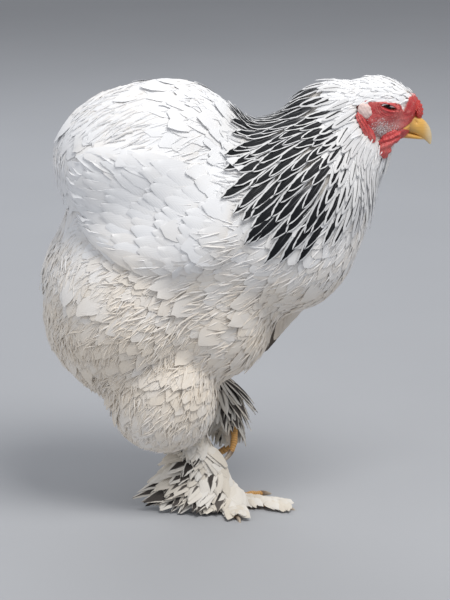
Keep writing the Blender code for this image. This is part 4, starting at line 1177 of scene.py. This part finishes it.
def arched(roots, tips, rise):
    """Paths along a quadratic curve from each root to its tip, bowed upwards by its rise."""
    bow = (roots + tips) / 2 + np.array([0, 0, 1]) * rise[:, None]
    return curve(roots[:, None], bow[:, None], tips[:, None], FOOT_PLACES[None, :, None])


def fan_tier(side, place, count, first, last, near, far, low, high, width, dark):
    """One tier of a foot's fan, its feathers longer and higher from the first bearing to the last."""
    share = (np.arange(count) + DRAWS.uniform(-0.3, 0.3, count)).clip(0, count - 1) / (count - 1)
    outward = level_ways(np.radians(first + (last - first) * share), side)
    reach = (near + (far - near) * share**1.2) * DRAWS.uniform(0.86, 1.05, count)
    if side == LEFT:
        reach = reach * LIFTED_SHARE
    root = shank_line(side, place) + outward * 0.010
    tip = np.array(PAD[side]) * [1, 1, 0] + outward * reach[:, None] * FAN_FLATNESS
    floor = PAD[side][2] - PAD[RIGHT][2]
    tip[:, 2] = floor + low + (high - low) * share + DRAWS.uniform(0, 0.003, count)
    if side == LEFT:
        tip[:, 2] -= LIFTED_SHARE * reach
    rise = 0.008 + 0.010 * DRAWS.random(count)
    widths = width * DRAWS.uniform(0.7, 1.1, count)
    return root, tip, rise, widths, (dark + DRAWS.normal(0, 0.18, count)).clip(0, 1)


def hanging_feathers():
    """Feathers that hang all round the lifted foot, all of them under a painted shade and darkest at the
    front.
    """
    count = HANGING
    place = DRAWS.uniform(0.35, 1.05, count)
    outward = level_ways(DRAWS.uniform(0, 2 * np.pi, count))
    root = shank_line(LEFT, place) + outward * 0.009
    drop = DRAWS.uniform(0.030, 0.043, count)
    flare = DRAWS.uniform(0.016, 0.028, count) - 0.020 * smooth(0.45, 0.95, place)
    tip = root + outward * flare[:, None] - np.array([0, 0, 1]) * drop[:, None]
    tip[:, 0] += (0.016 - 0.010 * place) * outward[:, 0].clip(0, 1)
    tip[:, 2] = np.maximum(tip[:, 2], HANGING_FLOOR + 0.006 * DRAWS.random(count))
    widths = DRAWS.uniform(0.012, 0.018, count)
    near = spot_bell((root + tip) / 2, 0.008, 0.100, 0.018, 0.016)
    # Painted shade: a base darkness of 0.32 on every feather, for the lifted foot hangs in the shade under
    # the belly; the bell near the front adds a dark patch.
    darks_and_shade = (0.32 + 0.65 * near + DRAWS.normal(0, 0.2, count)).clip(0, 1)
    return root, tip, np.full(count, 0.010), widths, darks_and_shade


def toe_feathers(kind, count):
    """Short white feathers along the top of one toe of the standing foot, leaning to both sides."""
    line = toe_path(RIGHT, kind)
    along = unit(line[-1] - line[0])
    place = DRAWS.uniform(0.08, 0.98, count)
    lean = DRAWS.choice([-1.0, 1.0], count) * DRAWS.uniform(0.1, 1.0, count)
    beside = np.cross([0, 0, 1], along)
    root = line[(place * (len(line) - 1)).astype(int)] + np.array([0, 0, 0.0035])
    root = root + beside * (0.003 * lean)[:, None]
    tip = root + along * 0.014 + beside * (0.011 * lean)[:, None]
    tip[:, 2] = 0.0025 + 0.006 * (1 - np.abs(lean))
    return root, tip, np.full(count, 0.003), DRAWS.uniform(0.007, 0.011, count), np.zeros(count)


def make_foot_feathers(side, word, striped):
    """Feathers down the shank and out over the foot, longest behind, the lowest along the floor."""
    standing = side == RIGHT
    lots = [fan_tier(side, *tier) for tier in FOOT_TIERS]
    if standing:
        lots += [toe_feathers(kind, count) for kind, count in TOE_FEATHERS]
    else:
        lots.append(hanging_feathers())
    roots, tips, rises, widths, darks_and_shade = [np.concatenate(column) for column in zip(*lots)]
    paths = arched(roots, tips, rises)
    if standing:
        near = spot_bell(paths[:, 3], -0.046, 0.048, 0.010, 0.022)
        darks_and_shade = np.maximum(darks_and_shade * smooth(0.004, -0.012, tips[:, 0]), 0.95 * near)
        paths[..., 2] = np.maximum(paths[..., 2], 0.0012 + 0.0016 * DRAWS.random(len(paths))[:, None])
    outward = unit((tips - roots) * [1, 1, 0])
    tilt = 0.6 if standing else 0.2
    facings = np.broadcast_to((outward * 0.5 + [0, 0.5 * side * standing, tilt])[:, None], paths.shape)
    made = vane_points(paths, facings, widths, 3.0, FOOT_PLACES, 0.06, 0.10, columns=5, end=0.95, jag=0.035)
    if standing:
        made[0][:, 2] = np.maximum(made[0][:, 2], FEATHER_FLOOR)
    values = {"tone": DRAWS.random(len(roots)), "dark": darks_and_shade}
    name = f"foot_feathers_{word}_coat"
    pieces = coat_piece(name, made, roots, values, striped, centre=PAD[side])
    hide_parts("foot_feathers_" + word)


def make_shank_feathers(side, word, striped):
    """Short feathers that hang round the shank, dark along one stripe down its outer side."""
    count = SHANK_FEATHERS
    place = DRAWS.uniform(-0.05, 0.97, count)
    outward = level_ways(DRAWS.uniform(0, 2 * np.pi, count))
    flare = place.clip(0, 1) * (0.5 - 0.5 * outward[:, 0]) * 0.012
    roots = shank_line(side, place) + outward * (0.0085 + flare)[:, None]
    fall = np.array([-0.05, side * 0.1, -1.0]) * DRAWS.uniform(0.018, 0.028, count)[:, None]
    tips = roots + outward * 0.006 + fall
    if side == RIGHT:
        tips[:, 2] = np.maximum(tips[:, 2], 0.004)
    paths = arched(roots, tips, np.zeros(count))
    facings = np.broadcast_to(outward[:, None], paths.shape)
    widths = DRAWS.uniform(0.010, 0.015, count)
    made = vane_points(paths, facings, widths, 3.2, FOOT_PLACES, 0.06, 0.05, columns=4, end=0.94, jag=0.04)
    bearing = np.degrees(np.arctan2(outward[:, 1] * side, outward[:, 0]))
    stripe = bell(bearing - STRIPE_BEARING, STRIPE_WIDTH) * smooth(0.15, 0.35, place)
    values = {"tone": DRAWS.random(count), "dark": (stripe * 1.2 - 0.05).clip(0, 1)}
    coat_piece(f"shank_feathers_{word}", made, roots, values, striped, centre=HOCK[side])


# Toes and claws
FOOT_TURN = -16.0
TOE_LENGTHS = {"inner": 0.046, "middle": 0.062, "outer": 0.050, "hind": 0.026}
TOE_ANGLES = {"inner": 52.0, "middle": 0.0, "outer": -62.0, "hind": 155.0}
TOE_WIDTH = 0.0048
TOE_PLATES = 15
TOE_SIDES = 18
PLATE_RISE = 0.045
CLAW_LENGTH = 0.013
CLAW_ROOT = 0.002
CLAW_HOOK = 0.0030
CLAW_SIZE = 0.0031
CLAW_STATIONS = 24
CLAW_SIDES = 14
LIFTED_SPREAD = 0.85
LIFTED_DROOP = 50.0
CURL_RADIUS = 0.026
PAD_RISE = 0.0015
PAD_DEPTH = 0.0090
PAD_RADIUS = 0.0125
SOLE_FLAT = 0.0020


def toe_path(side, kind, stations=60):
    """A toe's middle line from the pad to its claw: along the floor, or curled under a lifted foot."""
    reach = np.linspace(0.004, TOE_LENGTHS[kind], stations)
    part = np.linspace(0, 1, stations)
    if side == RIGHT:
        turn = np.radians(FOOT_TURN + TOE_ANGLES[kind])
        height = toe_width(part) * 0.86 + 0.0012 * np.sin(part * np.pi)
        return np.stack([np.cos(turn) * reach, np.sin(turn) * reach, height], axis=1)
    turn = np.radians(TOE_ANGLES[kind] * (1.0 if kind == "hind" else LIFTED_SPREAD))
    ahead, sideways = np.cos(turn) * reach, -np.sin(turn) * reach
    curl = ahead / CURL_RADIUS
    flat, down = CURL_RADIUS * np.sin(curl), -CURL_RADIUS * (1 - np.cos(curl)) * np.sign(ahead)
    sine, cosine = np.sin(np.radians(LIFTED_DROOP)), np.cos(np.radians(LIFTED_DROOP))
    bent = np.stack([flat * cosine + down * sine, sideways, down * cosine - flat * sine], axis=1)
    return np.array(PAD[LEFT]) + bent


def toe_width(part):
    """Half a toe's width, less towards the claw, with a swelling at each joint."""
    return TOE_WIDTH * (1 - 0.32 * part) * (1 + 0.07 * np.cos(part * 3 * 2 * np.pi))


def sole_side(side, path):
    """The way a toe's top faces: up on the floor, and square to the curl on the lifted foot."""
    if side == RIGHT:
        return np.tile([0.0, 0.0, 1.0], (len(path), 1))
    return np.cross(np.gradient(path, axis=0), np.tile([0.0, 1.0, 0.0], (len(path), 1)))


def tube_map(stations, sides):
    """The map of a tube: round it, then along it, with its two end points last."""
    u = np.broadcast_to(np.abs(np.linspace(-1, 1, sides))[None], (stations, sides))
    v = np.broadcast_to(np.linspace(0, 1, stations)[:, None], (stations, sides))
    return np.vstack([np.stack([u, v], -1).reshape(-1, 2), [(0.5, 0), (0.5, 1)]])


def make_toes(scaly, horny):
    """Toes with cross plates standing proud on top, and hooked claws."""
    for side, word in SIDES:
        floor = 0.0 if side == RIGHT else None
        for kind in TOE_LENGTHS:
            path = toe_path(side, kind)
            part = np.linspace(0, 1, len(path))
            turn = np.linspace(0, 2 * np.pi, TOE_SIDES, endpoint=False)
            ridges = np.abs(np.sin(part * TOE_PLATES * np.pi))[:, None]
            plate = PLATE_RISE * ridges * np.maximum(np.sin(turn), 0)[None]
            width = toe_width(part) * np.minimum(1, np.sqrt((1 - part) * 9 + 0.30))
            up = sole_side(side, path)
            points, faces = tube_points(path, width, width * 0.92, up, TOE_SIDES, floor, 1 + plate)
            name = f"toe_{kind}_{word}"
            uvs = {"Vane": tube_map(len(path), TOE_SIDES)}
            made = new_piece(name + "_skin", points, faces, scaly, uvs)
            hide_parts(name)
            along, upward = unit(path[-1] - path[-2]), unit(up[-1])
            t = np.linspace(0, 1, CLAW_STATIONS)
            ahead = along * (-CLAW_ROOT + (CLAW_LENGTH + CLAW_ROOT) * t)[:, None]
            line = path[-1] + ahead - upward * (CLAW_HOOK * t**2)[:, None]
            size = CLAW_SIZE * np.sqrt(1 - t**1.7 * 0.985)
            points, faces = tube_points(line, size * 0.8, size, upward, CLAW_SIDES, floor)
            uvs = {"Vane": tube_map(CLAW_STATIONS, CLAW_SIDES)}
            made = new_piece(f"claw_{kind}_{word}_horn", points, faces, horny, uvs)
            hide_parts(f"claw_{kind}_{word}")
        x, y, z = PAD[side]
        mass = Mass((x, y, z + PAD_RISE), (PAD_RADIUS, PAD_RADIUS, PAD_DEPTH))
        points, faces = ball_points(Form([mass]), (x, y, z), 24, 28)
        if side == RIGHT:
            points[:, 2] = np.where(points[:, 2] < SOLE_FLAT, 0.0, points[:, 2])
        spots = np.stack([points[:, 0] * 20, points[:, 1] * 20], axis=1) % 1
        new_piece(f"foot_{word}_skin", points, faces, scaly, uvs={"Vane": spots})


# The head
EYE_RADIUS = 0.0092
EYE_TILT = -19.0
LID_RADII = (0.0118, 0.0040, 0.0098)
LID_OUT = 0.0060
EYE_OPENING = (0.0082, 0.0021)
SLIT_DEPTH = 0.0055
RIM_HEIGHT = 0.0009
RING_HEIGHT = 0.0004
RING_PITCH = 0.0026
LID_REACH = 0.0115
FOLD_DEPTH = 0.0009
FEATHERED_DEPTH = 0.0034
GAPE_SPOT = (0.1780, 0.4095)
GAPE_SLOPE = 0.45
GAPE_DEPTH = 0.0008


def head_form():
    """The head's masses with a lid over each eye."""
    x, y, z = EYE_SPOT
    lids = [off(side, x, y + LID_OUT, z, *LID_RADII, pitch=EYE_TILT) for side, _ in SIDES]
    return Form(HEAD + lids, FACE_BLEND)


def eye_place(points, side):
    """Each point's place along and up from an eye's middle, turned to the tilt of its lids."""
    turn = np.radians(EYE_TILT)
    dx, dz = points[:, 0] - EYE_SPOT[0], points[:, 2] - EYE_SPOT[2]
    near = (points[:, 1] - MEDIAN) * side > 0.004
    along, up = dx * np.cos(turn) + dz * np.sin(turn), dz * np.cos(turn) - dx * np.sin(turn)
    return along, up, near


def make_head(red):
    """The head's skin: lids parted by a slit, lumps and creases on the face, smooth under feathers."""
    form = head_form()
    points, faces = ball_points(form, HEAD_CENTRE, 190, 210)
    _, way = in_lots(form, points)
    bare = on_face(points).astype(float)
    gold = within(GAPE_OUTLINE, points[:, 0], points[:, 2]).astype(float)
    height = bare * (0.00045 * ripple(points, 900, 1) + 0.0004 * ripple(points, 420, 2))
    height -= (1 - bare) * FEATHERED_DEPTH
    half_long, half_tall = EYE_OPENING
    for side, _ in SIDES:
        along, up, near = eye_place(points, side)
        arch = half_tall * np.sqrt(np.maximum(1 - (along / half_long) ** 2, 0))
        slit = smooth(0.0012, -0.0004, np.abs(up - 0.0003) - arch) * (np.abs(along) < half_long) * near
        far = np.hypot(along, up * 1.25)
        rim = bell(np.abs(up) - arch - 0.0014, 0.0010) * (far < LID_REACH) * near
        rings = np.cos(far * 2 * np.pi / RING_PITCH) * bell(far - LID_REACH, 0.0035) * near
        height = height + RIM_HEIGHT * rim + RING_HEIGHT * rings - SLIT_DEPTH * slit
        fold = bell(up - 0.0062 + along * 0.12, 0.0010) * (np.abs(along) < 0.010) * near
        height = height - FOLD_DEPTH * fold
    crease = (points[:, 2] - GAPE_SPOT[1]) - (points[:, 0] - GAPE_SPOT[0]) * GAPE_SLOPE
    height = height - GAPE_DEPTH * bell(crease, 0.0009) * smooth(0.168, 0.174, points[:, 0])
    points = points + way * height[:, None]
    grey = spot_bell(points, 0.160, 0.4105, 0.0120, 0.0095)
    grey = grey + 0.5 * spot_bell(points, 0.176, 0.4165, 0.006, 0.006)
    values = {"grey": grey.clip(0, 1), "down": 1 - bare, "gold": gold}
    made = new_piece("head_skin", points, faces, red, values=values)
    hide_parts("head")


def make_eyes(wet):
    """A ball in each socket, round the eye's own spot."""
    for side, word in SIDES:
        x, y, z = EYE_SPOT
        mass = off(side, x, y, z, EYE_RADIUS, EYE_RADIUS, EYE_RADIUS)
        points, faces = ball_points(Form([mass]), mass.centre, 40, 48)
        made = new_piece(f"eye_{word}_ball", points, faces, wet)
        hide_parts("eye_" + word)


UPPER_LINE = ((0.1850, 0.4130), (0.2030, 0.4130), (0.2105, 0.3922))
LOWER_LINE = ((0.1780, 0.4036), (0.2040, 0.3982))
NOSTRIL_SPOT = (0.1952, 0.4166)
NOSTRIL_RADII = (0.0030, 0.0013)
NOSTRIL_DEPTH = 0.0022


def beak_half(name, x, z, half_width, half_height, sides, horny, shape=1.0):
    """A closed tube along a line in the middle plane, pressed in where the nostrils lie."""
    path = np.stack([x, np.full_like(x, MEDIAN), z], axis=1)
    points, faces = tube_points(path, half_width, half_height, (0, 0, 1), sides, shape=shape)
    if name == "beak_upper":
        for side, _ in SIDES:
            ahead, above = points[:, 0] - NOSTRIL_SPOT[0], points[:, 2] - NOSTRIL_SPOT[1]
            long, tall = NOSTRIL_RADII
            gap = np.hypot((ahead - above * 0.7) / long, (above + ahead * 0.7) / tall)
            hollow = bell(gap, 1) * ((points[:, 1] - MEDIAN) * side > 0)
            points[:, 1] -= side * NOSTRIL_DEPTH * hollow
    return new_piece(name + "_horn", points, faces, horny)


def make_beak(upper_horn, lower_horn):
    """The upper half falls along a curve and hooks over, and the lower half is straight."""
    part = np.linspace(0, 1, 60)
    x, z = [curve(*line, part) for line in zip(*UPPER_LINE)]
    turn = np.linspace(0, 2 * np.pi, 40, endpoint=False)
    under = 1 - 0.25 * np.maximum(-np.sin(turn), 0) ** 2
    half_width, half_height = 0.0080 - 0.0070 * part**1.5, 0.0110 - 0.0100 * part**2.6
    made = beak_half("beak_upper", x, z, half_width, half_height, 40, upper_horn, under)
    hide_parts("beak_upper")
    part = np.linspace(0, 1, 50)
    (x0, z0), (x1, z1) = LOWER_LINE
    x, z = x0 + (x1 - x0) * part, z0 + (z1 - z0) * part
    half_width, half_height = 0.0070 - 0.0052 * part**1.4, 0.0046 - 0.0032 * part
    made = beak_half("beak_lower", x, z, half_width, half_height, 36, lower_horn)
    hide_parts("beak_lower")


COMB_STATIONS = 150
COMB_SIDES = 60
COMB_ROWS = 3
COMB_BEADS = 8
COMB_CREASES = 21
COMB_SIZE = 0.0066


def make_comb(fleshy):
    """Three low rows of pea-like bumps from the brow down to the beak, the middle row the highest."""
    part = np.linspace(0, 1, COMB_STATIONS)
    x = 0.1822 + 0.0160 * np.sin(part * np.pi / 2)
    z = 0.4430 - 0.0235 * part**1.35
    body = np.sin(np.clip(part * 0.94 + 0.03, 0, 1) * np.pi) ** 0.45
    path = np.stack([x, np.full_like(x, MEDIAN), z], axis=1)
    turn = np.linspace(0, 2 * np.pi, COMB_SIDES, endpoint=False)
    ridge = np.maximum(np.cos((turn - np.pi / 2) * COMB_ROWS), 0) ** 1.2 * (np.sin(turn) > -0.3)
    beads = 0.5 + 0.5 * np.cos(part * COMB_BEADS * 2 * np.pi)[:, None]
    creases = 0.05 * np.cos(part * COMB_CREASES * 2 * np.pi)[:, None] * np.abs(np.cos(turn))[None]
    shape = 0.84 + 0.26 * ridge[None] * (0.35 + 0.65 * beads) + creases
    size = COMB_SIZE * body
    points, faces = tube_points(path, size * 1.4, size, (1, 0, 1), COMB_SIDES, shape=shape)
    made = new_piece("comb_flesh", points, faces, fleshy)
    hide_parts("comb")


FACE_PIECES = (
    # name, slot, height of its lumps, then the depth of its folds and how fast they turn with x and z
    ("ear", "ear_skin", 0.0006, 0, 0, 0),
    ("earlobe", "face_skin", 0.0007, 0.0006, 1900, 950),
    ("wattle", "face_skin", 0.0008, 0.0008, 420, -1000),
)
FACE_MASSES = {
    # x, distance from the middle plane, z, three radii, pitch
    "ear": ((0.1412, 0.0218, 0.4316, 0.0074, 0.0040, 0.0084, 20),),
    "earlobe": (
        (0.1378, 0.0226, 0.4215, 0.0042, 0.0028, 0.0100, 25),
        (0.1462, 0.0218, 0.4065, 0.0046, 0.0028, 0.0100, 35),
    ),
    "wattle": (
        (0.1685, 0.0158, 0.4020, 0.0120, 0.0042, 0.0066, 28),
        (0.1620, 0.0158, 0.3895, 0.0064, 0.0040, 0.0088, -15),
    ),
}


def make_face_pieces(red, ear):
    """Wattles, earlobes and ear patches: melted masses with lumps and folds set on them."""
    for side, word in SIDES:
        for kind, slot, lump, deep, over_x, over_z in FACE_PIECES:
            masses = [off(side, *mass) for mass in FACE_MASSES[kind]]
            points, faces = ball_points(Form(masses, FACE_BLEND), masses[0].centre, 60, 70)
            _, way = in_lots(Form(masses, FACE_BLEND), points)
            height = lump * (ripple(points, 900, 4) + ripple(points, 1700, 5))
            bent = 3 * ripple(points, 260, 6)
            height += deep * np.sin(points[:, 0] * over_x + points[:, 2] * over_z + bent)
            points = points + way * height[:, None]
            values = {"grey": np.zeros(len(points))}
            finish = ear if kind == "ear" else red
            made = new_piece(f"{kind}_{word}_flesh", points, faces, finish, values=values)
            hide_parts(f"{kind}_{word}")


# Studio
def make_studio():
    """A pale floor, an even sky and three broad lamps."""
    scene = bpy.context.scene
    scene.view_settings.view_transform = "Standard"
    world = bpy.data.worlds.new("studio")
    scene.world = world
    world.use_nodes = True
    world.node_tree.nodes["Background"].inputs["Color"].default_value = (0.93, 0.95, 1.0, 1)
    world.node_tree.nodes["Background"].inputs["Strength"].default_value = 0.42
    mesh = bpy.data.meshes.new("floor")
    mesh.from_pydata([(-9, -9, 0), (9, -9, 0), (9, 9, 0), (-9, 9, 0)], [], [(0, 1, 2, 3)])
    floor = bpy.data.objects.new("floor", mesh)
    scene.collection.objects.link(floor)
    f = Finish("pale_floor", Roughness=0.9, Specular_IOR_Level=0.1)
    grain = f.noise(f.place(), 3.0, 2.0)
    mesh.materials.append(f.paint(f.mix(grain, (0.40, 0.41, 0.43), (0.43, 0.44, 0.46))))
    for name, spot, size, power, colour in (
        ("key", (0.7, -1.0, 2.5), 1.2, 50.0, (1.0, 0.985, 0.96)),
        ("fill", (-1.9, -1.6, 1.0), 1.6, 9.0, (0.95, 0.97, 1.0)),
        ("back", (-0.3, 1.9, 1.7), 1.4, 18.0, (0.95, 0.97, 1.0)),
    ):
        light = bpy.data.lights.new(name, "AREA")
        light.size, light.energy, light.color = size, power, colour
        made = bpy.data.objects.new(name, light)
        made.location = spot
        made.rotation_euler = (Vector((-0.02, 0, 0.24)) - Vector(spot)).to_track_quat("-Z", "Y").to_euler()
        scene.collection.objects.link(made)


CAMERA_TARGET = (-0.003, 0.008, 0.224)
CAMERA_DISTANCE = 3.2
CAMERA_ELEVATION = np.radians(15.0)


def make_camera():
    """A long lens level with the hen's right side, looking a little down."""
    camera = bpy.data.cameras.new("camera")
    camera.lens, camera.sensor_width, camera.sensor_fit = 182.0, 36.0, "AUTO"
    camera.clip_end = 60.0
    made = bpy.data.objects.new("camera", camera)
    out = Vector((0, -np.cos(CAMERA_ELEVATION), np.sin(CAMERA_ELEVATION)))
    made.location = Vector(CAMERA_TARGET) + out * CAMERA_DISTANCE
    made.rotation_euler = (-out).to_track_quat("-Z", "Y").to_euler()
    bpy.context.scene.collection.objects.link(made)
    bpy.context.scene.camera = made


make_camera()
make_studio()
white = feather_white()
skin = make_skin()
make_body_coat(skin, white)
for side, word in SIDES:
    make_wing(side, word, white)
make_far_quills(white)
make_bristles(white)
make_hackle(feather_laced())
striped = feather_foot()
for side, word in SIDES:
    make_foot_feathers(side, word, striped)
    make_shank_feathers(side, word, striped)
make_toes(toe_scales(), claw_shade())
face_red = red_skin()
make_head(face_red)
make_eyes(eye_wet())
make_beak(
    horn("beak_top", (0.42, 0.24, 0.10), (0.76, 0.43, 0.10), (0.72, 0.58, 0.36), 0.183, 0.211),
    horn("beak_bottom", (0.60, 0.28, 0.08), (0.76, 0.42, 0.09), (0.74, 0.56, 0.30), 0.181, 0.206),
)
make_comb(comb_skin())
make_face_pieces(face_red, ear_down())
